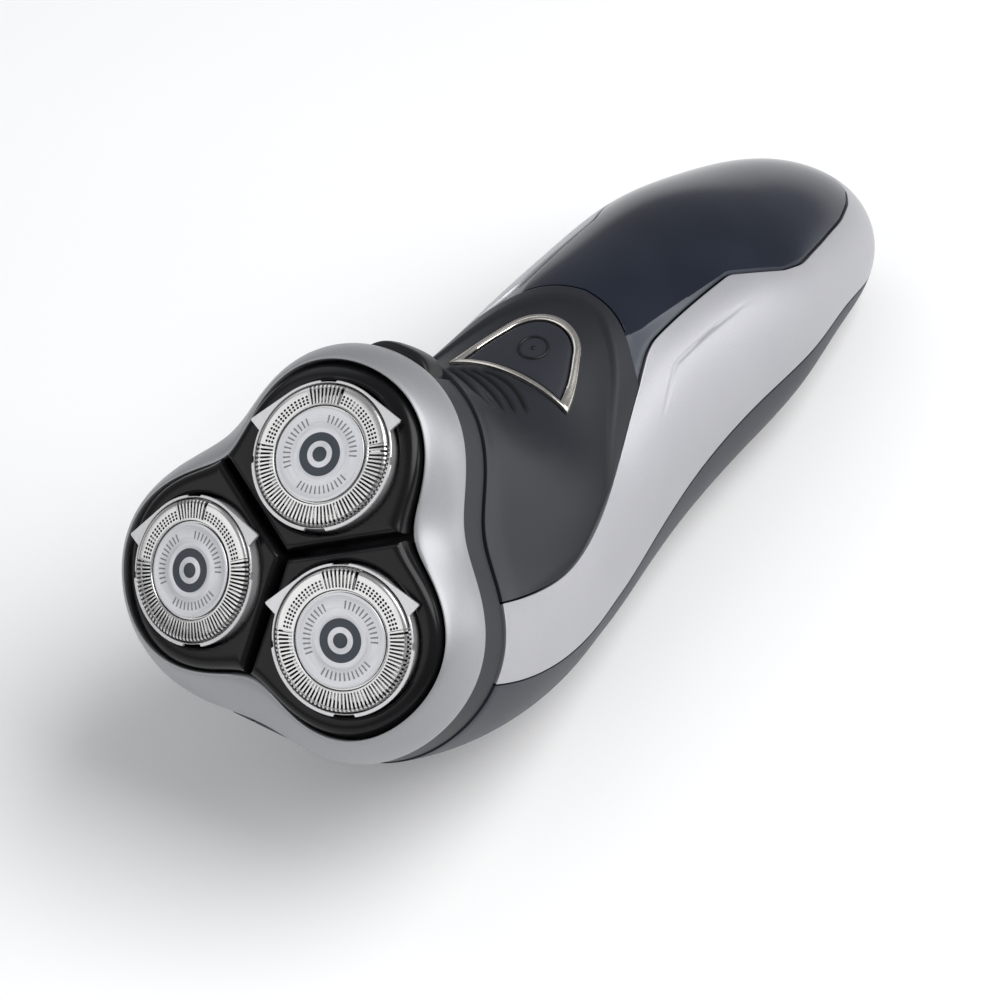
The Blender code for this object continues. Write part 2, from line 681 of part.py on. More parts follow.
def make_motor(material):
    profile = ((0, MOTOR_TOP - MOTOR_LENGTH), (MOTOR_RADIUS - 1, MOTOR_TOP - MOTOR_LENGTH),
               (MOTOR_RADIUS, MOTOR_TOP - MOTOR_LENGTH + 1), (MOTOR_RADIUS, MOTOR_TOP - 1),
                (MOTOR_RADIUS - 1, MOTOR_TOP),
               (0, MOTOR_TOP))
    return turned("motor", profile, material, HEAD, 24)


def make_motor_plate(material):
    """The plate that carries the motor and the lower ends of the drive shafts."""
    foot = MOTOR_TOP + GAP
    top = foot + 1.4
    plate = loops_object("motor_plate",
                         [lobed_loop(RING_OUTLINE, 6.5, foot, 0), lobed_loop(RING_OUTLINE, 6.5, top, 0)],
                         material, HEAD)
    middle = [circle(2.0, foot - 1, 16), circle(2.0, top + 1, 16)]
    cut(plate, loops_object("middle", middle, material, HEAD))
    return plate


COVER_TOP = PARTING - 0.5
COVER_FOOT = COVER_TOP - 1.5
SCREW_ANGLES = (30, 150, 270)
SCREW_RADIUS_TO_AXIS = 17.5


def make_gear_cover(material):
    """The plate that closes the handle's mouth, with a hole for each drive shaft and countersinks for its screws."""
    loops = [lobed_loop(RING_OUTLINE, 2.6, COVER_FOOT), lobed_loop(RING_OUTLINE, 2.6, COVER_TOP)]
    cover = loops_object("gear_cover", loops, material, HEAD)
    for degrees in HEAD_ANGLES:
        centre = polar(SHAFT_RADIUS_TO_AXIS, degrees)
        hole = [circle(2.1, COVER_FOOT - 1, 12, centre), circle(2.1, COVER_TOP + 1, 12, centre)]
        cut(cover, loops_object("hole", hole, material, HEAD))
    for degrees in SCREW_ANGLES:
        centre = polar(SCREW_RADIUS_TO_AXIS, degrees)
        hole = [circle(1.2, COVER_FOOT - 1, 10, centre), circle(1.2, COVER_TOP + 1, 10, centre)]
        cut(cover, loops_object("hole", hole, material, HEAD))
    low = (-RELEASE_HALF - 0.4, RELEASE_BACK - 0.9 - RELEASE_TRAVEL - GAP, PARTING - 9)
    high = (RELEASE_HALF + 0.4, 40.0, PARTING + 2)
    cut(cover, box_object("notch", low, high, material, HEAD))
    cut(cover, barrel("clear", -BRACKET_HALF - 1, BRACKET_HALF + 1, HINGE_BARREL + 0.4, material))
    return cover


def make_cover_screw(number, degrees, material):
    place = HEAD @ Matrix.Translation(polar(SCREW_RADIUS_TO_AXIS, degrees))
    profile = ((0, COVER_FOOT - 4), (0.9, COVER_FOOT - 4), (0.9, COVER_TOP + 0.15), (2.0, COVER_TOP + 0.15),
               (1.8, COVER_TOP + 0.42), (0, COVER_TOP + 0.42))
    return turned(f"cover_screw_{number}", profile, material, place, 12)


def make_hinge_bracket(material):
    """The fixed half of the head's hinge: two knuckles on a foot that is screwed inside the handle."""
    bracket = box_object("hinge_bracket", (-BRACKET_HALF, HINGE_Y + 2.9, COVER_FOOT - 2.6),
                         (BRACKET_HALF, HINGE_Y + 4.1, COVER_FOOT - GAP), material, HEAD)
    for side in (-1, 1):
        ends = sorted((side * (KNUCKLE_HALF + GAP), side * BRACKET_HALF))
        arm = box_object("arm", (ends[0], HINGE_Y - 0.1, COVER_FOOT - 1.9), (ends[1], HINGE_Y + 3.5, COVER_FOOT - GAP),
                         material, HEAD)
        neck = box_object("neck", (ends[0], HINGE_Y - 0.1, COVER_FOOT - 1.9),
                          (ends[1], HINGE_Y + 0.9, PARTING), material,
                          HEAD)
        knuckle = barrel("knuckle", ends[0], ends[1], HINGE_BARREL, material)
        join(arm, neck)
        join(arm, knuckle)
        join(bracket, arm)
    cut(bracket, barrel("bore", -BRACKET_HALF - 1, BRACKET_HALF + 1, 0.95, material))
    return bracket


RELEASE_HALF = 6.4
RELEASE_TOP = -12.6
RELEASE_FRONT = sum(RING_OUTLINE) + 1.2
RELEASE_BACK = sum(RING_OUTLINE) - 4.3
RELEASE_TRAVEL = 1.2


def make_release_button(material):
    """The black tab on the thumb side that lets the head unit swing open."""
    tab = box_object("head_release_button", (-RELEASE_HALF, RELEASE_BACK, PARTING + 0.1),
                     (RELEASE_HALF, RELEASE_FRONT, RELEASE_TOP), material, HEAD)
    foot = box_object("foot", (-RELEASE_HALF, RELEASE_BACK - 0.9, PARTING - 2.9),
                      (RELEASE_HALF, RELEASE_BACK + 0.3, PARTING + 1),
                      material, HEAD)
    join(tab, foot)
    return tab


# ---------------------------------------------------------------- handle panels
def panel_lines():
    grip_side = sample_curve(GRIP_SIDE, ROWS_GRIP)
    gloss_side = sample_line(GLOSS_SIDE, ROWS_GLOSS)
    upper = np.concatenate([grip_side, gloss_side[1:]])
    lower_end = TRIM_LOWER[-1][0]
    lower_angle = spline_through([point[0] for point in TRIM_LOWER], [[point[1]] for point in TRIM_LOWER])
    lower_s = upper[:, 0] * lower_end / upper[-1, 0]
    lower = np.stack([lower_s, lower_angle(lower_s)[:, 0]], 1)
    half = COLUMNS // 2 + 1
    return {
        "grip_side": grip_side,
        "gloss_side": gloss_side,
        "upper": upper,
        "lower": lower,
        "grip_rear": sample_curve(GRIP_REAR, half),
        "gloss_rear": sample_curve(GLOSS_REAR, half),
        "back_rear": sample_curve(BACK_REAR, BACK_COLUMNS // 2 + 1),
    }


def button_outline(inset, steps=10):
    """The button's shield outline in plan, from its front right corner round its rear to the left and back."""
    radius = BUTTON_ARC_RADIUS - inset
    corner_x = BUTTON_HALF_WIDTH - 1.5 * inset
    corner_y = BUTTON_FRONT + 0.85 * inset
    reach = math.hypot(corner_x, corner_y - BUTTON_ARC_Y)
    start = math.atan2(corner_y - BUTTON_ARC_Y, corner_x) + math.acos(radius / reach)
    right = [(corner_x, corner_y)]
    middle = (corner_x + radius * math.cos(start)) / 2, (corner_y + BUTTON_ARC_Y + radius * math.sin(start)) / 2
    right.append(middle)
    for step in range(steps + 1):
        angle = start + (math.pi / 2 - start) * step / steps
        right.append((radius * math.cos(angle), BUTTON_ARC_Y + radius * math.sin(angle)))
    left = [(-x, y) for x, y in reversed(right[:-1])]
    front = []
    for step in range(1, 6):
        x = -corner_x + 2 * corner_x * step / 6
        front.append((x, corner_y + (BUTTON_HOLLOW - 0.1 * inset) * (1 - (x / corner_x) ** 2)))
    return right + left + front


def over_surface(outline, lift):
    x = np.array([point[0] for point in outline])
    y = np.array([point[1] for point in outline])
    z = top_height(x, y) + lift
    return [Vector((a, b, c)) for a, b, c in zip(x, y, z)]


def make_button_bezel(material):
    loops = [over_surface(button_outline(GAP / 2), -2.4), over_surface(button_outline(GAP / 2), 0.0),
             over_surface(button_outline(0.35), 0.25), over_surface(button_outline(BEZEL_WIDTH), 0.05),
             over_surface(button_outline(BEZEL_WIDTH), -2.4)]
    return loops_object("button_bezel", loops, material, close=True)


def make_power_button(material):
    """The thumb button: a shield that follows the handle's crown, set in its bezel."""
    edge = button_outline(BEZEL_WIDTH + GAP)
    loops = [over_surface(edge, -2.6), over_surface(edge, -0.25)]
    for share, lift in ((0.92, 0.0), (0.5, 0.15)):
        ring = [(x * share, (y - BUTTON_ARC_Y) * share + BUTTON_ARC_Y) for x, y in edge]
        loops.append(over_surface(ring, lift))
    return loops_object("power_button", loops, material)


def make_panels(materials):
    lines = panel_lines()
    grip_front = np.stack([np.zeros(COLUMNS), np.linspace(-GRIP_SIDE[0][1], GRIP_SIDE[0][1], COLUMNS)], 1)
    grip_grid = fill_between(grip_front, both_sides(lines["grip_rear"]), mirrored(lines["grip_side"]),
                             lines["grip_side"])
    gloss_grid = fill_between(both_sides(lines["grip_rear"]), both_sides(lines["gloss_rear"]),
                              mirrored(lines["gloss_side"]), lines["gloss_side"])
    back_angles = np.linspace(TRIM_LOWER[0][1], 360 - TRIM_LOWER[0][1], BACK_COLUMNS)
    back_front = np.stack([np.zeros(BACK_COLUMNS), back_angles], 1)
    back_half = lines["back_rear"]
    back_left = np.array([0, 360]) + mirrored(back_half[::-1])[1:]
    back_rear = np.concatenate([back_half, back_left])
    lower_left = np.array([0, 360]) + mirrored(lines["lower"])
    back_grid = fill_between(back_front, back_rear, lines["lower"], lower_left)
    round_tail = both_sides(sample_curve(GLOSS_REAR, BACK_COLUMNS // 2 + 1))[::-1]
    upper = np.concatenate([lines["upper"], round_tail[1:-1], mirrored(lines["upper"])[::-1]])
    lower = np.concatenate([lines["lower"], back_rear[1:-1], mirrored(lines["lower"])[::-1]])

    grip = shell_object("grip_shell", handle_point(grip_grid[..., 0], grip_grid[..., 1]), WALL, materials["rubber"])
    gloss = shell_object("gloss_panel", handle_point(gloss_grid[..., 0], gloss_grid[..., 1]), WALL, materials["gloss"])
    back = shell_object("rear_shell", handle_point(back_grid[..., 0], back_grid[..., 1]), WALL, materials["case"])
    trim = shell_object("side_trim", across_trim(upper, lower, ROWS_TRIM), WALL, materials["silver"])

    hole = [[Vector((x, y, z)) for x, y in button_outline(-0.05)] for z in (30, 70)]
    cut(grip, loops_object("button_hole", hole, materials["rubber"]))
    cut(back, barrel("hinge_clear", -BRACKET_HALF - GAP, BRACKET_HALF + GAP, HINGE_BARREL + 0.4, materials["case"]))
    low = (-BRACKET_HALF - GAP, HINGE_Y - 0.9, COVER_FOOT - 2.3)
    high = (BRACKET_HALF + GAP, HINGE_Y + 5, PARTING + 1)
    cut(back, box_object("bracket_clear", low, high, materials["case"], HEAD))
    cut(trim, socket_prism("socket_hole", SOCKET_HALF_WIDTH + GAP, SOCKET_HALF_HEIGHT + GAP, 74, 90,
                           materials["silver"]))
    return grip, gloss, back, trim


# ---------------------------------------------------------------- inside the handle
SOCKET_HALF_WIDTH = 5.0
SOCKET_HALF_HEIGHT = 3.0
SOCKET_Z = 11.5
CELL_RADIUS = 7.1
CELL_Y = (-2.0, 47.0)
CELL_Z = 20.0
BOARD_Z = 32.6
BOARD_Y = (-18.0, 38.0)
BOARD_HALF = 13.0


def socket_prism(name, half_width, half_height, y_low, y_high, material):
    """A lying prism with round ends, along the handle."""
    loops = []
    straight = half_width - half_height
    for y in (y_low, y_high):
        loop = []
        for step in range(24):
            angle = 2 * math.pi * step / 24
            side = straight if math.cos(angle) > 1e-9 else -straight
            loop.append(Vector((side + half_height * math.cos(angle), y, SOCKET_Z + half_height * math.sin(angle))))
        loops.append(loop)
    return loops_object(name, loops, material)


def make_charging_socket(material):
    socket = socket_prism("charging_socket", SOCKET_HALF_WIDTH, SOCKET_HALF_HEIGHT, 70.0, 84.6, material)
    cut(socket, socket_prism("mouth", SOCKET_HALF_WIDTH - 1, SOCKET_HALF_HEIGHT - 1, 76.0, 90.0, material))
    for side in (-1, 1):
        cut(socket, rod_object("pin_hole", (side * 1.9, 60, SOCKET_Z), (side * 1.9, 80, SOCKET_Z), 0.9, material, 12))
    return socket


def make_inner_frame(material):
    """The tray that carries the cells below and the circuit board above."""
    y_low = CELL_Y[0] - 6
    y_high = CELL_Y[1] + 3
    frame = box_object("inner_frame", (-16.5, y_low, 12.5), (16.5, y_high, 29.6), material)
    cut(frame, box_object("cells_bay", (-15.2, y_low + 4, 10), (15.2, y_high - 2, 28.4), material))
    cut(frame, box_object("window", (-10, y_low + 18, 25), (10, y_high - 14, 35), material))
    return frame


def make_cell(number, x, material):
    """A rechargeable cell with its raised contact."""
    place = Matrix.Translation((x, CELL_Y[0], CELL_Z)) @ Matrix.Rotation(-math.pi / 2, 4, "X")
    length = CELL_Y[1] - CELL_Y[0]
    profile = ((0, 0), (CELL_RADIUS - 0.4, 0), (CELL_RADIUS, 0.4), (CELL_RADIUS, length - 1.4),
               (CELL_RADIUS - 0.4, length - 1), (2.6, length - 1), (2.6, length), (0, length))
    return turned(f"battery_cell_{number}", profile, material, place, 24)


def make_circuit_board(material):
    return box_object("circuit_board", (-BOARD_HALF, BOARD_Y[0], BOARD_Z), (BOARD_HALF, BOARD_Y[1], BOARD_Z + 1.6),
                      material)


def make_power_switch(material):
    """The click switch under the button: a housing and its plunger in one."""
    y = BUTTON_ARC_Y - 1
    low_z = BOARD_Z + 1.6 + GAP
    switch = box_object("power_switch", (-3.1, y - 3.1, low_z), (3.1, y + 3.1, low_z + 4.0), material)
    join(switch, rod_object("plunger", (0, y, low_z + 3), (0, y, 46.4), 1.6, material, 16))
    return switch


# ---------------------------------------------------------------- assembly
def build():
    for old in list(bpy.data.objects):
        bpy.data.objects.remove(old)
    materials = {
        "silver": finish("satin_silver", (0.56, 0.56, 0.59), 0.34, 0.55),
        "ring": finish("satin_ring", (0.50, 0.50, 0.53), 0.36, 0.55),
        "case": finish("dark_grey_plastic", (0.075, 0.078, 0.095), 0.42),
        "rubber": finish("soft_black_rubber", (0.030, 0.032, 0.038), 0.58),
        "gloss": finish("blue_black_gloss", (0.012, 0.015, 0.022), 0.10),
        "pad": finish("gloss_black_plastic", (0.008, 0.008, 0.009), 0.12),
        "steel": finish("polished_steel", (0.62, 0.62, 0.62), 0.22, 1.0),
        "satin_steel": finish("satin_steel", (0.58, 0.58, 0.60), 0.38, 1.0),
        "motor_can": finish("motor_can", (0.52, 0.52, 0.54), 0.34, 1.0),
        "bezel": finish("warm_chrome", (0.60, 0.57, 0.53), 0.18, 1.0),
        "nylon": finish("white_nylon", (0.75, 0.74, 0.70), 0.5),
        "board": finish("green_board", (0.02, 0.13, 0.06), 0.45),
        "cell": finish("cell_sleeve", (0.05, 0.17, 0.10), 0.4),
    }
    ring = make_head_ring(materials["ring"])
    chamber = make_hair_chamber(materials["case"])
    retaining = make_retaining_frame(materials["nylon"])
    head_pieces = [ring, chamber, retaining]

    hinge_place = HEAD @ Matrix.Translation((0, HINGE_Y, PARTING))
    head_axis = joint_axis("head_hinge_axis", hinge_place)
    hang(head_pieces, head_axis)
    lock_axis = joint_axis("frame_lock_axis", HEAD @ Matrix.Translation((0, 0, -16)))
    hang([lock_axis], head_axis)
    hang([make_frame_lock(materials["case"])], lock_axis)

    for number, degrees in enumerate(HEAD_ANGLES, start=1):
        place = guard_matrix(degrees)
        pad_axis = joint_axis(f"pad_axis_{number}", place @ Matrix.Translation((0, 0, PAD_TILT_DEPTH)))
        hang([pad_axis], head_axis)
        hang([make_pad(number, degrees, materials["pad"])], pad_axis)
        guard_axis = joint_axis(f"guard_axis_{number}", place)
        hang([guard_axis], pad_axis)
        hang([make_guard_frame(number, degrees, materials["satin_steel"]),
              make_guard_cap(number, degrees, materials["steel"]),
              make_guard_disc(number, degrees, materials["satin_steel"])], guard_axis)
        cutter_axis = joint_axis(f"cutter_axis_{number}", place)
        hang([cutter_axis], guard_axis)
        hang([make_cutter(number, degrees, materials["steel"])], cutter_axis)
        shaft_place = HEAD @ Matrix.Translation(polar(SHAFT_RADIUS_TO_AXIS, degrees))
        shaft_axis = joint_axis(f"shaft_axis_{number}", shaft_place)
        hang([make_gear(number, degrees, materials["nylon"]),
              make_drive_shaft(number, degrees, materials["satin_steel"])], shaft_axis)

    motor_axis = joint_axis("motor_axis", HEAD @ Matrix.Translation((0, 0, GEAR_FOOT)))
    hang([make_pinion(materials["steel"])], motor_axis)
    make_motor(materials["motor_can"])
    make_motor_plate(materials["case"])
    make_gear_cover(materials["case"])
    for number, degrees in enumerate(SCREW_ANGLES, start=1):
        make_cover_screw(number, degrees, materials["steel"])
    make_hinge_bracket(materials["case"])
    barrel("head_hinge_pin", -BRACKET_HALF, BRACKET_HALF, 0.7, materials["steel"])
    release_axis = joint_axis("release_axis", HEAD @ Matrix.Translation((0, RELEASE_BACK, PARTING)))
    hang([make_release_button(materials["pad"])], release_axis)

    make_panels(materials)
    make_button_bezel(materials["bezel"])
    button_axis = joint_axis("power_button_axis", Matrix.Translation((0, BUTTON_ARC_Y, 50)))
    hang([make_power_button(materials["rubber"])], button_axis)

    make_inner_frame(materials["case"])
    for number, x in ((1, -CELL_RADIUS - 0.3), (2, CELL_RADIUS + 0.3)):
        make_cell(number, x, materials["cell"])
    make_circuit_board(materials["board"])
    make_power_switch(materials["pad"])
    make_charging_socket(materials["pad"])
    for number, side in ((1, -1), (2, 1)):
        rod_object(f"charge_pin_{number}", (side * 1.9, 68, SOCKET_Z), (side * 1.9, 81, SOCKET_Z), 0.6,
                   materials["steel"], 12)


build()
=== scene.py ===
"""The looks of a three-headed rotary shaver lying on its back.

Working sizes are in millimetres and are turned to metres when a mesh is made.
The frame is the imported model's own.
"""
import math

import bmesh
import bpy
import numpy as np
from mathutils import Matrix, Vector


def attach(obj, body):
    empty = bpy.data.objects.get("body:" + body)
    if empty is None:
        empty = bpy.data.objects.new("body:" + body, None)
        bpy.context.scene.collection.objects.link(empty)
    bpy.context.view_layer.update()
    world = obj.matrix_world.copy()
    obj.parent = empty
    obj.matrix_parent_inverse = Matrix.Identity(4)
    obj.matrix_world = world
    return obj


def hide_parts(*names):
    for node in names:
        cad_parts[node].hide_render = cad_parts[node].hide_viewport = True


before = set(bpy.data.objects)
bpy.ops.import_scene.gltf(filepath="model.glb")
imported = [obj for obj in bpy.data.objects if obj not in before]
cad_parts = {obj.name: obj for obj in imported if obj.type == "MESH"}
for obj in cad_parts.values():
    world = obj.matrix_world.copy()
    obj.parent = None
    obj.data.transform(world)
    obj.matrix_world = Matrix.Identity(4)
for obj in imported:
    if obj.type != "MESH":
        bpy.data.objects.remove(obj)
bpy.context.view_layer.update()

MM = 0.001
GAP = 0.3

# ---- the head's own sizes ----
HEAD_TILT = math.radians(45)
HEAD_CENTRE = (0.0, -71.8, 63.2)
HEAD_PITCH = 27.5
DOME_TILT = math.radians(9)
HEAD_ANGLES = (90, 210, 330)
RADIUS_TO_HEAD = HEAD_PITCH / math.sqrt(3)
PAD_OUTLINE = (25.4, 5.35, -0.8)
RING_OUTLINE = (29.2, 4.3, -0.6)
HINGE_BULGE = 2.3
RING_FOOT = -11.6
PARTING = -18.2
CAP_RADIUS = 10.75
FRAME_RADIUS = 11.3
EAR_MIDDLE = 111
PAD_TOP = -2.2
PAD_BOTTOM = -9.4
GROOVE = 1.8
DECK_HOLE_TO_AXIS = 15.0
DECK_HOLE_RADIUS = 10.6
COLLAR_WALL = 2.0
HINGE_Y = -27.0
HINGE_BARREL = 1.5
HINGE_CLEARANCE = 0.4
PIN_BORE = 0.95
KNUCKLE_HALF = 4.0
BRACKET_HALF = 8.0
RELEASE_HALF = 6.4
RELEASE_TOP = -12.6
RELEASE_FRONT = 34.1
RELEASE_BACK = 28.6
RELEASE_ROOM = 1.6
RELEASE_SIDE_GAP = 0.4

# ---- the handle's stations, as in the hard parts: s, top y and z, bottom y and z, half width ----
STATIONS = (
    (0.00, -35.5, 73.7, -77.7, 31.6, 29.8),
    (0.10, -29.3, 64.0, -59.8, 16.8, 28.5),
    (0.22, -19.8, 52.7, -35.8, 2.8, 26.5),
    (0.34, -7.8, 50.6, -11.8, -1.0, 23.7),
    (0.46, 7.2, 50.8, 6.2, -1.4, 22.2),
    (0.58, 24.2, 48.1, 24.2, -1.4, 22.2),
    (0.70, 42.2, 43.2, 42.2, -1.0, 22.3),
    (0.80, 58.2, 36.0, 58.2, -0.2, 19.8),
    (0.90, 77.2, 24.4, 77.2, 0.2, 14.0),
    (1.00, 85.5, 10.7, 85.5, 10.7, 0.0),
)
TAIL_SLOPES = (0.0, -140.0, 0.0, 140.0, -150.0)
SECTION_POWER = 2.08
NECK_BLEND = 0.26
WALL = 1.6
DRAFT = 0.4
MIDDLE_LINE = (0.0, 0.0, 25.0)
SOCKET_HEIGHT = 11.5

# ---- panel lines, as (s, degrees from the thumb side) ----
GRIP_SIDE = ((0.0, 82), (0.118, 75.5), (0.22, 61.5), (0.335, 50), (0.408, 42.5))
GRIP_REAR = ((0.408, 42.5), (0.425, 35), (0.442, 28), (0.463, 15), (0.472, 0))
GLOSS_SIDE = ((0.408, 42.5), (0.45, 37), (0.47, 35.5), (0.625, 35.5), (0.70, 48.5), (0.735, 52), (0.79, 50.8),
              (0.84, 48), (0.873, 43), (0.895, 36.5))
GLOSS_REAR = ((0.895, 36.5), (0.906, 27), (0.912, 14), (0.914, 0))
STRIP_WIDTH = ((0.408, 17.0), (0.43, 12.4), (0.45, 9.2), (0.47, 6.5), (0.52, 4.3), (0.56, 2.8), (0.61, 1.7),
               (0.72, 1.5), (0.84, 1.6), (0.895, 1.8))
TRIM_LOWER = ((0.0, 104), (0.12, 102.5), (0.21, 100), (0.35, 97), (0.50, 94), (0.62, 92.5), (0.75, 94),
              (0.84, 99), (0.875, 106))
BACK_REAR = ((0.875, 106), (0.905, 125), (0.925, 150), (0.93, 180))
CREASE_DEPTH = 0.18
CREASE_WIDTH = 0.26
CREASE = ((0.635, 49.0), (0.54, 48.5), (0.473, 48.3), (0.44, 54.0), (0.395, 61.0))

# ---- grip relief: its ridges and rim as (s, degrees), its depths in millimetres ----
RIDGES = (
    ((0.2835, -12.0), (0.277, 1.0), (0.256, 10.5), (0.229, 17.5)),
    ((0.2815, -17.0), (0.264, -3.0), (0.237, 8.0), (0.203, 16.0)),
    ((0.2805, -21.5), (0.252, -6.0), (0.216, 6.5), (0.172, 16.0)),
    ((0.2800, -26.0), (0.238, -9.5), (0.190, 4.0), (0.140, 15.5)),
    ((0.2800, -30.5), (0.224, -13.0), (0.160, 2.5), (0.105, 16.5)),
)
RIM_LINE = ((0.20, 68.0), (0.265, 57.5), (0.30, 51.0), (0.34, 43.5), (0.375, 37.5), (0.405, 31.0),
            (0.432, 22.5), (0.455, 11.5), (0.463, 0.0))
FLAT_S = 175.0
FLAT_DEGREES = 0.42
DISH_DEPTH = 0.55
# DISH_SHADE and RIDGE_SHADE_WIDTH set painted shade: how dark the band inside the rim is, and how wide the dark
# paint along each groove is
DISH_SHADE = 0.42
RIDGE_DEPTH = 0.40
RIDGE_WIDTH = 0.36
RIDGE_SHADE_WIDTH = 0.42
LIP_HEIGHT = 0.06
POCKET_DEPTH = 2.3

# ---- power button ----
BUTTON_FRONT = -13.6
BUTTON_HALF_WIDTH = 10.75
BUTTON_ARC_RADIUS = 7.45
SIDE_SWELL = 0.4
BUTTON_ARC_Y = -6.6
BUTTON_HOLLOW = 0.8
BEZEL_WIDTH = 0.9
BEZEL_SECTION = ((-0.3, -2.2), (-0.3, -0.05), (-0.2, 0.14), (0.05, 0.24), (0.62, 0.2), (0.92, 0.02),
                 (0.98, -0.12), (0.98, -2.2))
BUTTON_RIM = 1.45
MARK_Y = BUTTON_ARC_Y + 0.3
MARK_RADIUS = 2.35


# ---------------------------------------------------------------- finishes
class Amount:
    """A number that changes over a surface; arithmetic on it adds Math nodes."""

    def __init__(self, finish, socket):
        self.finish = finish
        self.socket = socket

    def maths(self, operation, *values):
        return self.finish.node("ShaderNodeMath", {"operation": operation}, dict(enumerate(values)))

    def __add__(self, other):
        return self.maths("ADD", self, other)

    def __sub__(self, other):
        return self.maths("SUBTRACT", self, other)

    def __rsub__(self, other):
        return self.maths("SUBTRACT", other, self)

    def __mul__(self, other):
        return self.maths("MULTIPLY", self, other)

    def __pow__(self, other):
        return self.maths("POWER", self, other)

    __radd__ = __add__
    __rmul__ = __mul__

    def above(self, limit, soft):
        """0 below the limit and 1 above it, with a soft step."""
        return self.finish.node("ShaderNodeMapRange", {"interpolation_type": "SMOOTHSTEP"},
                                {"Value": self, "From Min": limit - soft, "From Max": limit + soft})

    def fraction(self):
        return self.maths("FRACT", self)


class Finish:
    """A procedural material: one Principled shader and the nodes that feed it."""

    def __init__(self, name, **fixed):
        self.material = bpy.data.materials.new(name)
        self.material.use_nodes = True
        self.tree = self.material.node_tree
        self.shader = self.tree.nodes["Principled BSDF"]
        for key, value in fixed.items():
            self.shader.inputs[key.replace("_", " ").title().replace("Ior", "IOR")].default_value = value
        self.place = self.node("ShaderNodeTexCoord", output="Object")

    def node(self, kind, settings=None, inputs=None, output=0):
        made = self.tree.nodes.new(kind)
        for key, value in (settings or {}).items():
            setattr(made, key, value)
        for key, value in (inputs or {}).items():
            self.feed(made.inputs[key], value)
        return Amount(self, made.outputs[output])

    def feed(self, socket, value):
        if isinstance(value, Amount):
            self.tree.links.new(value.socket, socket)
        else:
            socket.default_value = value

    def set(self, name, value):
        self.feed(self.shader.inputs[name], value)

    def noise(self, size_mm, detail=2.0, stretch=None):
        """Noise whose lumps are about size_mm across."""
        vector = self.place
        if stretch:
            vector = self.node("ShaderNodeMapping", None, {"Vector": vector, "Scale": stretch})
        return self.node("ShaderNodeTexNoise", None,
                         {"Vector": vector, "Scale": 1000 / size_mm, "Detail": detail, "Roughness": 0.55})

    def mix(self, share, first, second):
        return self.node("ShaderNodeMix", {"data_type": "RGBA"},
                         {0: share, 6: colour(first), 7: colour(second)}, 2)

    def bump(self, height, depth_mm, strength=1.0):
        self.set("Normal", self.node("ShaderNodeBump", None,
                                     {"Height": height, "Distance": depth_mm * MM, "Strength": strength}))

    def painted_shade_and_strip(self):
        """The piece's own mark, from 0 to 1: on the grip the painted shade in its grooves and inside its rim,
        on the gloss panel its greyer edge strip.
        """
        return self.node("ShaderNodeAttribute", {"attribute_name": "painted_shade_and_strip"}, None, "Fac")

    def ground(self, scale):
        """Lines ground round the piece's own middle, then radius in millimetres and turn in degrees."""
        flat = self.node("ShaderNodeUVMap", {"uv_map": "flat"})
        x, y = ((self.node("ShaderNodeSeparateXYZ", None, {0: flat}, axis) - 0.5) * UV_SPAN for axis in "XY")
        radius = (x * x + y * y) ** 0.5
        turn = x.maths("ARCTAN2", y, x) * (180 / math.pi)
        sweep = self.node("ShaderNodeCombineXYZ", None, {0: radius, 1: turn * 0.004, 2: 0.0})
        lines = self.node("ShaderNodeTexNoise", None, {"Vector": sweep, "Scale": scale, "Detail": 3.0})
        return lines, radius, turn


UV_SPAN = 60.0
TICK_PITCH = 7.5
TICK_BAND = (4.75, 5.95)
INLAY_BAND = (2.0, 3.3)
INLAY_DOT = 1.15


def colour(value):
    return (*value, 1.0) if isinstance(value, tuple) else value


def silver_paint(name, bright, dark, roughness):
    """Satin metallic paint: a fine flake under a thin clear coat."""
    finish = Finish(name, metallic=0.62, coat_weight=0.25, coat_roughness=0.22)
    drift = finish.noise(18, 2)
    flake = finish.noise(0.16, 1)
    shade = drift * 0.35 + flake * 0.65
    finish.set("Base Color", finish.mix(shade.above(0.5, 0.3), dark, bright))
    finish.set("Roughness", roughness + (flake - 0.5) * 0.16 + (drift - 0.5) * 0.05)
    finish.bump(flake, 0.006, 0.5)
    return finish.material


def moulded_plastic(name, tint, deep, roughness, grain_mm, depth_mm, groove=None):
    """Fine spark-eroded grain, with faint handling marks; a painted shade may darken its fine grooves and the
    band inside its rim.
    """
    finish = Finish(name, ior=1.34)
    grain = finish.noise(grain_mm, 3)
    marks = finish.noise(9, 4)
    shade = finish.mix((marks * 0.5 + grain * 0.5).above(0.5, 0.25), deep, tint)
    rough = roughness + (marks - 0.5) * 0.10 + (grain - 0.5) * 0.08
    if groove:
        # painted shade: the piece's mark pulls the colour towards the groove colour; depth here is that mark,
        # not a height
        depth = finish.painted_shade_and_strip()
        shade = finish.mix(depth, shade, groove)
        rough = rough + depth * 0.3
    finish.set("Base Color", shade)
    finish.set("Roughness", rough)
    finish.bump(grain, depth_mm)
    return finish.material


def gloss_plastic(name, tint, deep, roughness, ior, strip=None):
    """Polished plastic, slightly wavy, with hair-fine wipe marks; its edge strip may be greyer."""
    finish = Finish(name, ior=ior)
    wave = finish.noise(14, 1)
    wipe = finish.noise(0.5, 3, stretch=(1.0, 0.06, 1.0))
    shade = finish.mix(wave.above(0.5, 0.3), deep, tint)
    rough = roughness + (wipe - 0.5) * 0.07 + (wave - 0.5) * 0.04
    if strip:
        edge = finish.painted_shade_and_strip().above(0.3, 0.15)
        shade = finish.mix(edge, shade, strip)
        rough = rough + edge * 0.14
    finish.set("Base Color", shade)
    finish.set("Roughness", rough)
    finish.bump(wave * 0.8 + wipe * 0.01, 0.03, 0.6)
    return finish.material


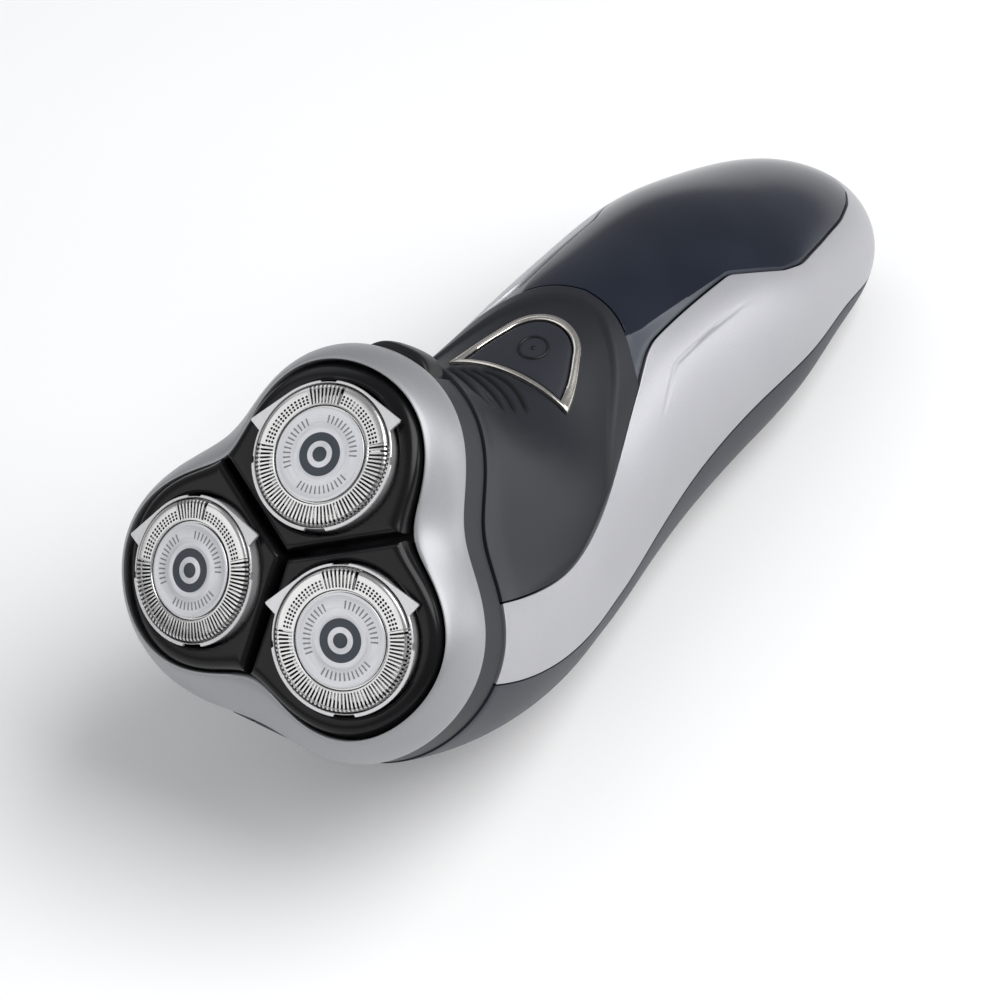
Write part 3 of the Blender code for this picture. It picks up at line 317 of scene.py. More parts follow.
def bright_steel(name, tint, deep, roughness, circular=True, metallic=1.0):
    """Ground steel; on round pieces the grinding runs round the piece's own middle."""
    finish = Finish(name, metallic=metallic)
    if circular:
        lines = finish.ground(9.0)[0]
    else:
        lines = finish.noise(0.25, 3, stretch=(1.0, 0.05, 1.0))
    soil = finish.noise(3, 3)
    finish.set("Base Color", finish.mix((lines * 0.6 + soil * 0.4).above(0.5, 0.28), deep, tint))
    finish.set("Roughness", roughness + (lines - 0.5) * 0.14 + (soil - 0.5) * 0.08)
    finish.bump(lines, 0.004, 0.6)
    return finish.material


def disc_steel(name):
    """A guard's centre: satin steel, three rows of engraved ticks, a dark inlaid ring round a dot."""
    finish = Finish(name)
    lines, radius, turn = finish.ground(7.0)
    comb = (turn * (1 / TICK_PITCH)).fraction()
    row = (turn * (1 / 120)).fraction()

    def between(amount, low, high, soft):
        return amount.above(low, soft) * (1 - amount.above(high, soft))

    ticks = between(radius, *TICK_BAND, 0.06) * between(comb, 0.33, 0.67, 0.05) * between(row, 0.14, 0.86, 0.01)
    mark = between(radius, *INLAY_BAND, 0.04) + (1 - radius.above(INLAY_DOT, 0.04))
    satin = finish.mix(lines.above(0.5, 0.3), (0.50, 0.505, 0.53), (0.62, 0.625, 0.65))
    ticked = finish.mix(ticks * 0.75, satin, (0.05, 0.055, 0.065))
    finish.set("Base Color", finish.mix(mark, ticked, (0.022, 0.030, 0.042)))
    finish.set("Metallic", 0.35 - mark * 0.3)
    finish.set("Roughness", 0.36 + (lines - 0.5) * 0.12 + mark * 0.05)
    finish.bump(1 - ticks - mark * 0.3 + lines * 0.05, 0.03)
    return finish.material


def pale_floor(name):
    finish = Finish(name)
    cloud = finish.noise(160, 2)
    finish.set("Base Color", finish.mix(cloud, (0.90, 0.90, 0.90), (0.94, 0.94, 0.94)))
    finish.set("Roughness", 0.55 + (cloud - 0.5) * 0.1)
    return finish.material


FINISHES = {
    "trim": silver_paint("satin_silver_paint", (0.43, 0.43, 0.455), (0.36, 0.36, 0.385), 0.40),
    "ring": silver_paint("satin_ring_paint", (0.36, 0.363, 0.375), (0.30, 0.303, 0.315), 0.52),
    "case": moulded_plastic("dark_grey_case", (0.028, 0.031, 0.043), (0.021, 0.023, 0.033),
                            0.46, 0.35, 0.006),
    "collar": moulded_plastic("dark_grey_collar", (0.018, 0.019, 0.024), (0.013, 0.014, 0.018),
                              0.48, 0.35, 0.006),
    # the grip's last colour is the painted shade of its grooves and of the band inside its rim
    "grip": moulded_plastic("soft_black_grip", (0.019, 0.0205, 0.026), (0.0135, 0.015, 0.0195),
                            0.44, 0.22, 0.012, (0.001, 0.001, 0.0015)),
    "button": moulded_plastic("soft_black_button", (0.024, 0.027, 0.035), (0.018, 0.020, 0.026),
                              0.42, 0.22, 0.008),
    "gloss": gloss_plastic("blue_black_gloss", (0.011, 0.015, 0.026), (0.007, 0.010, 0.018),
                           0.16, 1.42, (0.055, 0.062, 0.078)),
    "pad": gloss_plastic("black_pad_gloss", (0.0065, 0.0065, 0.0075), (0.004, 0.004, 0.0045), 0.24, 1.3),
    "tab": moulded_plastic("black_tab", (0.008, 0.008, 0.009), (0.005, 0.005, 0.006), 0.38, 0.4, 0.006),
    "steel": bright_steel("ground_steel", (0.66, 0.655, 0.65), (0.52, 0.515, 0.51), 0.24, metallic=0.9),
    "frame": bright_steel("satin_frame_steel", (0.60, 0.60, 0.61), (0.48, 0.48, 0.49), 0.30, metallic=0.6),
    "plain_steel": bright_steel("drawn_steel", (0.64, 0.64, 0.65), (0.50, 0.50, 0.51), 0.30, circular=False),
    "disc": disc_steel("engraved_disc_steel"),
    "bezel": bright_steel("warm_bright_bezel", (0.72, 0.68, 0.63), (0.56, 0.53, 0.49), 0.22, circular=False),
    "nylon": moulded_plastic("white_nylon", (0.76, 0.75, 0.71), (0.66, 0.65, 0.61), 0.48, 0.6, 0.01),
    "board": moulded_plastic("green_board", (0.02, 0.14, 0.06), (0.01, 0.09, 0.035), 0.4, 1.2, 0.02),
    "cell": moulded_plastic("green_cell_sleeve", (0.05, 0.20, 0.11), (0.035, 0.15, 0.08), 0.36, 0.8, 0.01),
    "floor": pale_floor("pale_studio_floor"),
}


# ---------------------------------------------------------------- geometry helpers
def polar(radius, degrees, z=0.0):
    angle = math.radians(degrees)
    return Vector((radius * math.cos(angle), radius * math.sin(angle), z))


def head_matrix():
    x_axis = Vector((1, 0, 0))
    y_axis = Vector((0, math.sin(HEAD_TILT), math.cos(HEAD_TILT)))
    place = Matrix((x_axis, y_axis, x_axis.cross(y_axis))).transposed().to_4x4()
    place.translation = Vector(HEAD_CENTRE)
    return place


HEAD = head_matrix()


def guard_matrix(degrees):
    lean = Matrix.Rotation(DOME_TILT, 4, Vector((0, 0, 1)).cross(polar(1, degrees)))
    return HEAD @ Matrix.Translation(polar(RADIUS_TO_HEAD, degrees)) @ lean


def outline_radius(outline, degrees, bulge=0.0):
    mean, depth, sharpness = outline
    lobe = math.radians(3 * (degrees - 90))
    towards_hinge = max(0.0, math.cos(math.radians(degrees - 270)))
    return mean + depth * math.cos(lobe) + sharpness * math.cos(2 * lobe) + bulge * towards_hinge ** 6


def lobed_loop(outline, inset, z, bulge=HINGE_BULGE, steps=144):
    turns = [360 * k / steps for k in range(steps)]
    return [polar(outline_radius(outline, turn, bulge) - inset, turn, z) for turn in turns]


def circle(radius, z, steps=48, centre=(0.0, 0.0)):
    return [Vector((centre[0], centre[1], 0)) + polar(radius, 360 * k / steps, z) for k in range(steps)]


def spline_through(knots, values, end_slope=None):
    """A smooth curve through values at knots; returns a function of the knot coordinate."""
    knots = np.asarray(knots, float)
    values = np.asarray(values, float)
    count = len(knots)
    spans = np.diff(knots)
    system = np.zeros((count, count))
    right = np.zeros(values.shape)
    system[0, 0] = 1
    system[-1, -1] = 1
    for k in range(1, count - 1):
        system[k, k - 1:k + 2] = (spans[k - 1], 2 * (spans[k - 1] + spans[k]), spans[k])
        right[k] = 6 * ((values[k + 1] - values[k]) / spans[k] - (values[k] - values[k - 1]) / spans[k - 1])
    if end_slope is not None:
        system[-1, -2:] = (spans[-1], 2 * spans[-1])
        right[-1] = 6 * (np.asarray(end_slope) - (values[-1] - values[-2]) / spans[-1])
    bend = np.linalg.solve(system, right)

    def curve(at):
        at = np.clip(np.asarray(at, float), knots[0], knots[-1])
        k = np.clip(np.searchsorted(knots, at, "right") - 1, 0, count - 2)
        step = (at - knots[k])[..., None]
        span = spans[k][..., None]
        slope = (values[k + 1] - values[k]) / span - span * (2 * bend[k] + bend[k + 1]) / 6
        rate = (bend[k + 1] - bend[k]) / (6 * span)
        return values[k] + step * slope + step ** 2 * bend[k] / 2 + step ** 3 * rate

    return curve


STATION_TABLE = np.array(STATIONS)
RAILS = spline_through(STATION_TABLE[:, 0], STATION_TABLE[:, 1:], TAIL_SLOPES)


def smooth_step(low, high, value):
    t = np.clip((value - low) / (high - low), 0, 1)
    return t * t * (3 - 2 * t)


def handle_point(s, degrees):
    """Point on the handle's outer surface; degrees are counted from the thumb side to the right side."""
    s, degrees = np.broadcast_arrays(np.asarray(s, float), np.asarray(degrees, float))
    rails = RAILS(s)
    top_y, top_z, low_y, low_z, half_width = (rails[..., k] for k in range(5))
    angle = np.radians(degrees)
    side = np.sin(angle)
    up = np.cos(angle)
    scale = (np.abs(side) ** SECTION_POWER + np.abs(up) ** SECTION_POWER) ** (-1 / SECTION_POWER)
    lobes = 3 * angle
    radius = RING_OUTLINE[0] + RING_OUTLINE[1] * np.cos(lobes) + RING_OUTLINE[2] * np.cos(2 * lobes)
    radius = radius + HINGE_BULGE * np.clip(-up, 0, 1) ** 6
    tip = sum(RING_OUTLINE)
    heel = RING_OUTLINE[0] - RING_OUTLINE[1] + RING_OUTLINE[2] + HINGE_BULGE
    lobed_up = (radius * up - (tip - heel) / 2) / ((tip + heel) / 2)
    neck = 1 - smooth_step(0.0, NECK_BLEND, s)
    x = neck * radius * side + (1 - neck) * half_width * scale * side
    across = neck * lobed_up + (1 - neck) * scale * up
    y = (top_y + low_y) / 2 + (top_y - low_y) / 2 * across
    z = (top_z + low_z) / 2 + (top_z - low_z) / 2 * across
    return np.stack([x, y, np.maximum(z, 0.0)], -1)


def top_height(x, y):
    """Height of the thumb side over a point of the plan, found in Newton steps."""
    step_s, step_turn = 0.002, 0.5
    s = np.full(np.shape(x), 0.36)
    degrees = np.zeros(np.shape(x))
    for _ in range(12):
        here = handle_point(s, degrees)
        along = (handle_point(s + step_s, degrees) - here) / step_s
        round_it = (handle_point(s, degrees + step_turn) - here) / step_turn
        miss_x = x - here[..., 0]
        miss_y = y - here[..., 1]
        det = along[..., 0] * round_it[..., 1] - along[..., 1] * round_it[..., 0]
        s = s + (miss_x * round_it[..., 1] - miss_y * round_it[..., 0]) / det
        degrees = degrees + (along[..., 0] * miss_y - along[..., 1] * miss_x) / det
    return handle_point(s, degrees)[..., 2]


def measured(points):
    points = np.asarray(points, float)
    steps = np.hypot(np.diff(points[:, 0]), np.diff(points[:, 1]) / 100)
    return points, np.concatenate([[0], np.cumsum(steps)])


def sample_line(points, count):
    points, length = measured(points)
    at = np.linspace(0, length[-1], count)
    return np.stack([np.interp(at, length, points[:, k]) for k in range(2)], 1)


def sample_curve(points, count):
    points, length = measured(points)
    return spline_through(length, points)(np.linspace(0, length[-1], count))


def rounded_line(points, count, passes=2):
    """A broken line whose corners are rounded a little."""
    fine = sample_line(points, count)
    for _ in range(passes):
        fine[1:-1] = (fine[:-2] + 2 * fine[1:-1] + fine[2:]) / 4
    return fine


def mirrored(line):
    return line * np.array([1, -1])


def both_sides(right_half):
    return np.concatenate([mirrored(right_half), right_half[::-1][1:]])


def fill_between(front, rear, left, right):
    """A grid of (s, degrees) spanned by four border lines."""
    v = np.linspace(0, 1, len(left))[:, None, None]
    u = np.linspace(0, 1, len(front))[None, :, None]
    ruled = (1 - v) * front[None] + v * rear[None] + (1 - u) * left[:, None] + u * right[:, None]
    corners = (1 - v) * ((1 - u) * front[0] + u * front[-1]) + v * ((1 - u) * rear[0] + u * rear[-1])
    return ruled - corners


def across_trim(upper, lower, rows):
    """The side trim's grid: rulings that pass round the tail without meeting in one point."""
    v = np.linspace(0, 1, rows)[:, None, None]
    flat = (1 - v) * upper[None] + v * lower[None]

    def on_disc(line):
        angle = np.radians(line[:, 1])
        return (1 - line[:, :1]) * np.stack([np.sin(angle), np.cos(angle)], 1)

    disc = (1 - v) * on_disc(upper)[None] + v * on_disc(lower)[None]
    disc_s = 1 - np.hypot(disc[..., 0], disc[..., 1])
    flat_points = handle_point(flat[..., 0], flat[..., 1])
    disc_points = handle_point(disc_s, np.degrees(np.arctan2(disc[..., 0], disc[..., 1])))
    near_tail = smooth_step(0.6, 0.85, (upper[:, 0] + lower[:, 0]) / 2)[None, :, None]
    return (1 - near_tail) * flat_points + near_tail * disc_points


def distance_to(points, line):
    """Distance of each grid point from a line of points, in millimetres."""
    flat = points.reshape(-1, 3)
    best = np.full(len(flat), 1e9)
    for start, run in zip(line[:-1], np.diff(line, axis=0)):
        t = np.clip((flat - start) @ run / max(run @ run, 1e-12), 0, 1)
        best = np.minimum(best, np.linalg.norm(flat - start - t[:, None] * run, axis=1))
    return best.reshape(points.shape[:-1])


def share_along(points, line):
    """How far along a line, from 0 to 1, its nearest point to each grid point is."""
    flat = points.reshape(-1, 3)
    nearest = np.array([np.argmin(np.linalg.norm(line - point, axis=1)) for point in flat])
    return (nearest / (len(line) - 1)).reshape(points.shape[:-1])


def near_line(points, line, reach):
    """Distance from a line of (s, degrees), and for grid points within reach the share along it."""
    line = handle_point(line[:, 0], line[:, 1])
    near = distance_to(points, line)
    share = np.zeros(near.shape)
    share[near < reach] = share_along(points[near < reach], line)
    return near, share


def facing_out(normals, points):
    """Unit normals that point away from the handle's middle line."""
    normals = normals / np.maximum(np.linalg.norm(normals, axis=-1, keepdims=True), 1e-12)
    outward = points - np.where([False, True, False], points, MIDDLE_LINE)
    return normals if np.mean(np.sum(normals * outward, axis=-1)) > 0 else -normals


def grid_normals(points):
    return facing_out(np.cross(np.gradient(points, axis=0), np.gradient(points, axis=1)), points)


def surface_normals(grid):
    """Normals of the handle's surface at a grid of (s, degrees)."""
    s = grid[..., 0]
    degrees = grid[..., 1]
    along = handle_point(s + 0.001, degrees) - handle_point(s - 0.001, degrees)
    round_it = handle_point(s, degrees + 0.2) - handle_point(s, degrees - 0.2)
    return facing_out(np.cross(along, round_it), handle_point(s, degrees))


def drawn_in(grid, inset):
    """Moves the four borders of a grid of points inwards over its surface; the points near them follow."""
    most, fading = 0.35, 4 * inset
    moved = grid.copy()
    for axis in (0, 1):
        lines = np.moveaxis(grid, axis, 0)
        shifts = np.moveaxis(moved, axis, 0)
        for edge, inner, step in ((0, 2, 1), (-1, -3, -1)):
            line = lines[edge]
            tangent = np.concatenate([line[1:], line[-1:]]) - np.concatenate([line[:1], line[:-1]])
            tangent = tangent / np.linalg.norm(tangent, axis=-1, keepdims=True)
            inward = lines[inner] - line
            square = inward - tangent * np.sum(inward * tangent, axis=-1, keepdims=True)
            length = np.linalg.norm(square, axis=-1, keepdims=True)
            reach = np.minimum(inset, most * length) / np.maximum(length, 1e-9)
            for k in range(len(lines)):
                row = edge + step * k
                near = 1 - np.linalg.norm(lines[row] - line, axis=-1, keepdims=True) / fading
                if near.max() <= 0:
                    break
                shifts[row] += reach * square * np.clip(near, 0, 1)
    return moved


# ---------------------------------------------------------------- mesh helpers
def only(piece):
    bpy.ops.object.select_all(action="DESELECT")
    piece.select_set(True)
    bpy.context.view_layer.objects.active = piece


def apply_modifier(piece, kind, **settings):
    modifier = piece.modifiers.new(kind.lower(), kind)
    for key, value in settings.items():
        setattr(modifier, key, value)
    only(piece)
    bpy.ops.object.modifier_apply(modifier=modifier.name)


def new_piece(name, vertices, faces, merge=True):
    mesh = bpy.data.meshes.new(name)
    mesh.from_pydata([tuple(float(value) * MM for value in point) for point in vertices], [], faces)
    body = bmesh.new()
    body.from_mesh(mesh)
    if merge:
        bmesh.ops.remove_doubles(body, verts=body.verts, dist=1e-7)
    bmesh.ops.recalc_face_normals(body, faces=body.faces)
    body.to_mesh(mesh)
    body.free()
    piece = bpy.data.objects.new(name, mesh)
    bpy.context.scene.collection.objects.link(piece)
    return piece


def stacked(name, loops, close=False):
    """Skins a stack of equal loops; the ends are capped unless it closes on itself."""
    count = len(loops[0])
    vertices = [point for loop in loops for point in loop]
    faces = []
    for ring in range(len(loops) if close else len(loops) - 1):
        low = ring * count
        high = ((ring + 1) % len(loops)) * count
        faces += [(low + k, low + (k + 1) % count, high + (k + 1) % count, high + k) for k in range(count)]
    if not close:
        faces.append(tuple(range(count)))
        faces.append(tuple(range((len(loops) - 1) * count, len(loops) * count)))
    return new_piece(name, vertices, faces)


def turned(name, profile, steps=64):
    """A turned piece: its outline in (radius, z) is spun round the z axis."""
    outline = bpy.data.meshes.new(name)
    points = [(radius * MM, 0, z * MM) for radius, z in profile]
    closed = profile[0][0] > 0 or profile[-1][0] > 0
    edges = [(k, k + 1) for k in range(len(points) - 1)]
    if closed:
        edges.append((len(points) - 1, 0))
    outline.from_pydata(points, edges, [])
    piece = bpy.data.objects.new(name, outline)
    bpy.context.scene.collection.objects.link(piece)
    only(piece)
    bpy.ops.object.mode_set(mode="EDIT")
    bpy.ops.mesh.select_all(action="SELECT")
    bpy.ops.mesh.spin(steps=steps, angle=2 * math.pi, center=(0, 0, 0), axis=(0, 0, 1))
    bpy.ops.mesh.select_all(action="SELECT")
    bpy.ops.mesh.remove_doubles(threshold=2e-6)
    bpy.ops.mesh.normals_make_consistent(inside=False)
    bpy.ops.object.mode_set(mode="OBJECT")
    return piece


def block(name, low, high, edge=0.0, segments=3):
    """A box with rounded edges: a cube at its size and place, bevelled."""
    low = Vector(low) * MM
    high = Vector(high) * MM
    bpy.ops.object.select_all(action="DESELECT")
    bpy.ops.mesh.primitive_cube_add(size=1, location=(low + high) / 2, scale=high - low)
    piece = bpy.context.active_object
    piece.name = name
    bpy.ops.object.transform_apply(location=True, rotation=True, scale=True)
    if edge:
        bpy.ops.object.mode_set(mode="EDIT")
        bpy.ops.mesh.select_all(action="SELECT")
        bpy.ops.mesh.bevel(offset=edge * MM, segments=segments)
        bpy.ops.object.mode_set(mode="OBJECT")
    return piece


def rod(name, start, end, radius, steps=32, edge=0.0):
    """A round bar between two points, with its two rims eased."""
    start = Vector(start)
    end = Vector(end)
    length = (end - start).length
    edge = max(edge, 0.001)
    piece = turned(name, ((0, 0), (radius - edge, 0), (radius, edge), (radius, length - edge),
                          (radius - edge, length), (0, length)), steps)
    turn = (end - start).to_track_quat("Z", "Y").to_matrix().to_4x4()
    place_piece(piece, Matrix.Translation(start) @ turn)
    return piece


def place_piece(piece, matrix):
    """Moves a piece's own points by a matrix in millimetres."""
    moved = matrix.copy()
    moved.translation = moved.translation * MM
    piece.data.transform(moved)
    return piece


def boolean(target, tool, operation):
    modifier = target.modifiers.new("cut", "BOOLEAN")
    modifier.operation = operation
    modifier.solver = "EXACT"
    modifier.object = tool
    only(target)
    bpy.ops.object.modifier_apply(modifier=modifier.name)
    bpy.data.objects.remove(tool)


def cut(target, tool):
    boolean(target, tool, "DIFFERENCE")


def join(target, tool):
    boolean(target, tool, "UNION")


def together(name, pieces):
    """Joins finished shells into one piece."""
    only(pieces[0])
    for piece in pieces[1:]:
        piece.select_set(True)
    bpy.ops.object.join()
    pieces[0].name = name
    return pieces[0]


def flat_map(piece):
    """A UV map of the piece's own x and y, so that patterns turn round its middle."""
    layer = piece.data.uv_layers.new(name="flat")
    for loop in piece.data.loops:
        point = piece.data.vertices[loop.vertex_index].co / MM
        layer.data[loop.index].uv = (point.x / UV_SPAN + 0.5, point.y / UV_SPAN + 0.5)


def hand_over(piece, body, finish, slot, *nodes, angle=32):
    """Shading, finish and the piece's place among the hard parts."""
    only(piece)
    bpy.ops.object.shade_smooth_by_angle(angle=math.radians(angle))
    piece.data.materials.clear()
    piece.data.materials.append(FINISHES[finish])
    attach(piece, body)
    if nodes:
        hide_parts(*nodes)
    return piece


def panel(name, grid, normals, wall=WALL, lift=None, inset=GAP / 2, edge=0.22, share=None):
    """A moulded panel: a wall of even thickness under a grid of surface points, with eased edges."""
    grid = drawn_in(grid, inset)
    raised = grid if lift is None else grid + normals * lift[..., None]
    sunk = 0 if lift is None else np.minimum(lift + 1, 0)[..., None]
    inner = drawn_in(grid - normals * (wall - sunk), DRAFT)
    rows, columns = grid.shape[:2]
    count = rows * columns
    vertices = np.concatenate([raised.reshape(-1, 3), inner.reshape(-1, 3)])
    index = np.arange(count).reshape(rows, columns)
    quads = np.stack([index[:-1, :-1], index[:-1, 1:], index[1:, 1:], index[1:, :-1]], -1).reshape(-1, 4)
    faces = [tuple(int(v) for v in quad) for quad in quads]
    faces += [tuple(count + int(v) for v in quad[::-1]) for quad in quads]
    rim = list(index[0]) + list(index[1:, -1]) + list(index[-1, -2::-1]) + list(index[-2:0:-1, 0])
    for k, a in enumerate(rim):
        b = rim[(k + 1) % len(rim)]
        faces.append((int(a), int(b), count + int(b), count + int(a)))
    piece = new_piece(name, vertices, faces, merge=share is None)
    # share is the grip's painted shade or the gloss panel's greyer strip, kept as a mark on the piece
    if share is not None:
        layer = piece.data.attributes.new("painted_shade_and_strip", "FLOAT", "POINT")
        layer.data.foreach_set("value", np.concatenate([share.ravel(), share.ravel()]))
    if edge:
        apply_modifier(piece, "BEVEL", width=edge * MM, segments=2, limit_method="ANGLE",
                       angle_limit=math.radians(50), use_clamp_overlap=True)
    return piece


# ---------------------------------------------------------------- head unit
def make_head_ring():
    """A lip beside the pads, a broad falling band, and a rounded outer edge."""
    profile = ((0.0, -5.1), (0.015, -4.72), (0.05, -4.5), (0.11, -4.46), (0.18, -4.62), (0.30, -5.15),
               (0.45, -5.95), (0.60, -6.9), (0.74, -7.95), (0.86, -9.05), (0.945, -10.1), (0.985, -10.8),
               (1.0, -11.25), (0.985, -11.6))
    steps = 240
    borders = []
    for k in range(steps):
        degrees = 360 * k / steps
        borders.append((degrees, outline_radius(PAD_OUTLINE, degrees),
                        outline_radius(RING_OUTLINE, degrees, HINGE_BULGE)))
    loops = [[polar(inner + share * (outer - inner), degrees, z) for degrees, inner, outer in borders]
             for share, z in profile]
    loops.append(lobed_loop(PAD_OUTLINE, -0.4, RING_FOOT, 0, steps))
    loops.append(lobed_loop(PAD_OUTLINE, -0.1, -5.6, 0, steps))
    ring = place_piece(stacked("ring_band", loops, close=True), HEAD)
    hand_over(ring, "head_unit", "ring", "satin_ring", "head_ring", angle=40)


def hinge_bar(name, x_low, x_high, radius, edge=0.0):
    ends = [HEAD @ Vector((x, HINGE_Y, PARTING)) for x in (x_low, x_high)]
    return rod(name, *ends, radius, 32, edge)


def hinge_clearance():
    half = BRACKET_HALF + GAP
    return hinge_bar("clear", -half, half, HINGE_BARREL + HINGE_CLEARANCE)


def in_head(name, low, high, edge=0.0):
    return place_piece(block(name, low, high, edge), HEAD)


def make_collar():
    """The hair chamber: a dark collar with a deck that has an opening under each cutting head."""
    top = RING_FOOT - GAP
    foot = PARTING + GAP / 2
    loops = [lobed_loop(RING_OUTLINE, inset, z) for inset, z in
             ((1.0, foot), (0.45, foot), (0.3, foot + 0.15), (0.3, top - 0.2), (0.5, top), (1.2, top))]
    cup = place_piece(stacked("collar", loops), HEAD)
    inside = [lobed_loop(RING_OUTLINE, COLLAR_WALL, z) for z in (foot - 1, top - 1.2)]
    cut(cup, place_piece(stacked("inside", inside), HEAD))
    for degrees in HEAD_ANGLES:
        centre = polar(DECK_HOLE_TO_AXIS, degrees)
        hole = [circle(DECK_HOLE_RADIUS, z, 64, centre) for z in (top - 3, top + 1)]
        cut(cup, place_piece(stacked("hole", hole), HEAD))
    half = RELEASE_HALF + RELEASE_SIDE_GAP
    cut(cup, in_head("notch", (-half, RELEASE_BACK - RELEASE_ROOM, PARTING - 1),
                     (half, 40.0, RELEASE_TOP + RELEASE_SIDE_GAP)))
    cut(cup, hinge_clearance())
    hand_over(cup, "head_unit", "collar", "dark_grey_plastic", "hair_chamber", angle=30)
    knuckle = hinge_bar("collar_knuckle", -KNUCKLE_HALF, KNUCKLE_HALF, HINGE_BARREL, 0.2)
    join(knuckle, in_head("web", (-KNUCKLE_HALF, HINGE_Y + 0.2, PARTING + 0.5),
                          (KNUCKLE_HALF, HINGE_Y + 1.3, -14.5)))
    cut(knuckle, hinge_bar("bore", -KNUCKLE_HALF - 1, KNUCKLE_HALF + 1, PIN_BORE))
    hand_over(knuckle, "head_unit", "collar", "dark_grey_plastic")


def pad_outline(degrees, inset, groove_half, steps=72):
    """Outline of one pad: its lobe, cut off along the two grooves."""
    points = []
    for step in range(steps + 1):
        off = -60 + 120 * step / steps
        radius = outline_radius(PAD_OUTLINE, degrees + off) - inset
        if radius * math.sin(math.radians(60 - abs(off))) < groove_half:
            reach = math.sqrt(max(radius ** 2 - groove_half ** 2, 0))
            point = polar(reach, 60) + polar(groove_half, -30)
            if off < 0:
                point.y = -point.y
        else:
            point = polar(radius, off)
        points.append(Matrix.Rotation(math.radians(degrees), 4, "Z") @ point)
    inner_corner = polar(groove_half / math.sin(math.radians(60)), degrees)
    points += [points[steps].lerp(inner_corner, k / 12) for k in range(1, 12)] + [inner_corner]
    points += [inner_corner.lerp(points[0], k / 12) for k in range(1, 12)]
    return points


def make_pad(number, degrees):
    """A gloss black plate with a broad rolled rim, opened for its guard."""
    slope = math.tan(DOME_TILT)
    out = polar(1, degrees)
    groove = GROOVE / 2 - 0.35
    steps = ((0.5, 0.35, 0, PAD_BOTTOM), (0.42, 0.1, 3.0, None), (0.46, 0.0, 1.7, None),
             (0.62, 0.08, 1.05, None), (0.9, 0.26, 0.64, None), (1.3, 0.52, 0.33, None),
             (1.8, 0.85, 0.13, None), (2.4, 1.25, 0.03, None), (3.0, 1.7, 0.0, None))
    loops = []
    for inset, widen, drop, level in steps:
        loop = []
        for point in pad_outline(degrees, inset, groove + widen):
            face = PAD_TOP - (point.dot(out) - RADIUS_TO_HEAD) * slope
            loop.append(Vector((point.x, point.y, level if level is not None else face - drop)))
        loops.append(loop)
    pad = place_piece(stacked(f"pad_{number}", loops), HEAD)
    bore = FRAME_RADIUS + GAP
    tool = turned("hole", ((0, -14), (bore, -14), (bore, PAD_TOP - 0.45), (bore + 0.12, PAD_TOP - 0.18),
                           (bore + 0.45, PAD_TOP + 0.02), (bore + 0.45, 4), (0, 4)), 96)
    cut(pad, place_piece(tool, guard_matrix(degrees)))
    hand_over(pad, f"pad_{number}", "pad", "gloss_black_plastic", f"head_pad_{number}", angle=34)


def frame_radius(off):
    """The holder's outline; off is counted from the middle between its two ears."""
    off = abs((off + 180) % 360 - 180)
    ear_start, ear_tip, ear_end = 34.5, 66.5, 71.0
    if off < 7:
        return FRAME_RADIUS - 0.25
    if off < ear_start:
        return FRAME_RADIUS
    if off <= ear_tip:
        return FRAME_RADIUS / math.cos(math.radians(off - ear_start))
    if off < ear_end:
        tip = polar(FRAME_RADIUS / math.cos(math.radians(ear_tip - ear_start)), ear_tip)
        end = polar(FRAME_RADIUS - 0.1, ear_end)
        ray = polar(1, off)
        run = end - tip
        t = (tip.y * ray.x - tip.x * ray.y) / (run.x * ray.y - run.y * ray.x)
        return (tip + run * t).length
    if off < 92:
        return FRAME_RADIUS - 0.1
    if off < 97:
        return FRAME_RADIUS - 0.3
    if off < 172:
        return FRAME_RADIUS + 0.12
    return FRAME_RADIUS - 0.3


def make_guard_frame(number, degrees):
    """The satin holder: a ring with a thin flange, two pointed ears and its notches."""
    steps = 360
    bore = CAP_RADIUS + 0.12
    outer = [frame_radius(360 * k / steps - EAR_MIDDLE) for k in range(steps)]
    top = -0.55

    def flange(inset, z):
        return [polar(max(outer[k] - inset, FRAME_RADIUS - 0.32), 360 * k / steps, z) for k in range(steps)]

    loops = [circle(bore, -6, steps), circle(FRAME_RADIUS - 0.35, -6, steps),
             circle(FRAME_RADIUS - 0.33, -1.15, steps), flange(0.06, -1.1), flange(0, -1.02),
             flange(0, top - 0.08), flange(0.08, top), circle(bore + 0.06, top, steps),
             circle(bore, top - 0.08, steps)]
    piece = stacked(f"guard_holder_{number}", loops, close=True)
    flat_map(piece)
    place_piece(piece, guard_matrix(degrees))
    hand_over(piece, f"guard_{number}", "frame", "satin_steel", f"guard_frame_{number}", angle=35)


RIB_PITCH = 3.75
RIB_THICKNESS = 0.24
TRACK_IN = 7.75
TRACK_OUT = 9.95
SIEVE_IN = 7.9
SIEVE_OUT = 9.35
BLADES = 15
BLADE_SLANT = 0.25
SIEVE_PITCH = 4.1
SIEVE_ROWS = 3
SIEVE_HOLE = 0.21
SIEVE_THICKNESS = 0.22
SHOULDER = ((9.95, 0.0), (10.25, -0.06), (10.5, -0.26), (10.64, -0.62), (10.68, -1.25))


def is_slotted(off):
    off = abs((off + 180) % 360 - 180)
    return off < 17 or off > 80


def rib(turn, half_in, half_out):
    """A bridge between two slots: a thin strip over the track and down the shoulder."""
    path = ((TRACK_IN - 0.1, 0.0),) + SHOULDER
    vertices = []
    for radius, z in path:
        half = half_in + (half_out - half_in) * min(1.0, (radius - TRACK_IN) / (TRACK_OUT - TRACK_IN))
        for side, drop in ((-1, 0.0), (1, 0.0), (1, RIB_THICKNESS), (-1, RIB_THICKNESS)):
            inward = drop if radius > TRACK_OUT else 0.0
            point = Vector((radius - inward, side * half, z - drop))
            vertices.append(Matrix.Rotation(math.radians(turn), 4, "Z") @ point)
    last = len(vertices) - 4
    faces = [(a + m, a + (m + 1) % 4, a + 4 + (m + 1) % 4, a + 4 + m)
             for a in range(0, last, 4) for m in range(4)]
    return vertices, faces + [(3, 2, 1, 0), (last, last + 1, last + 2, last + 3)]


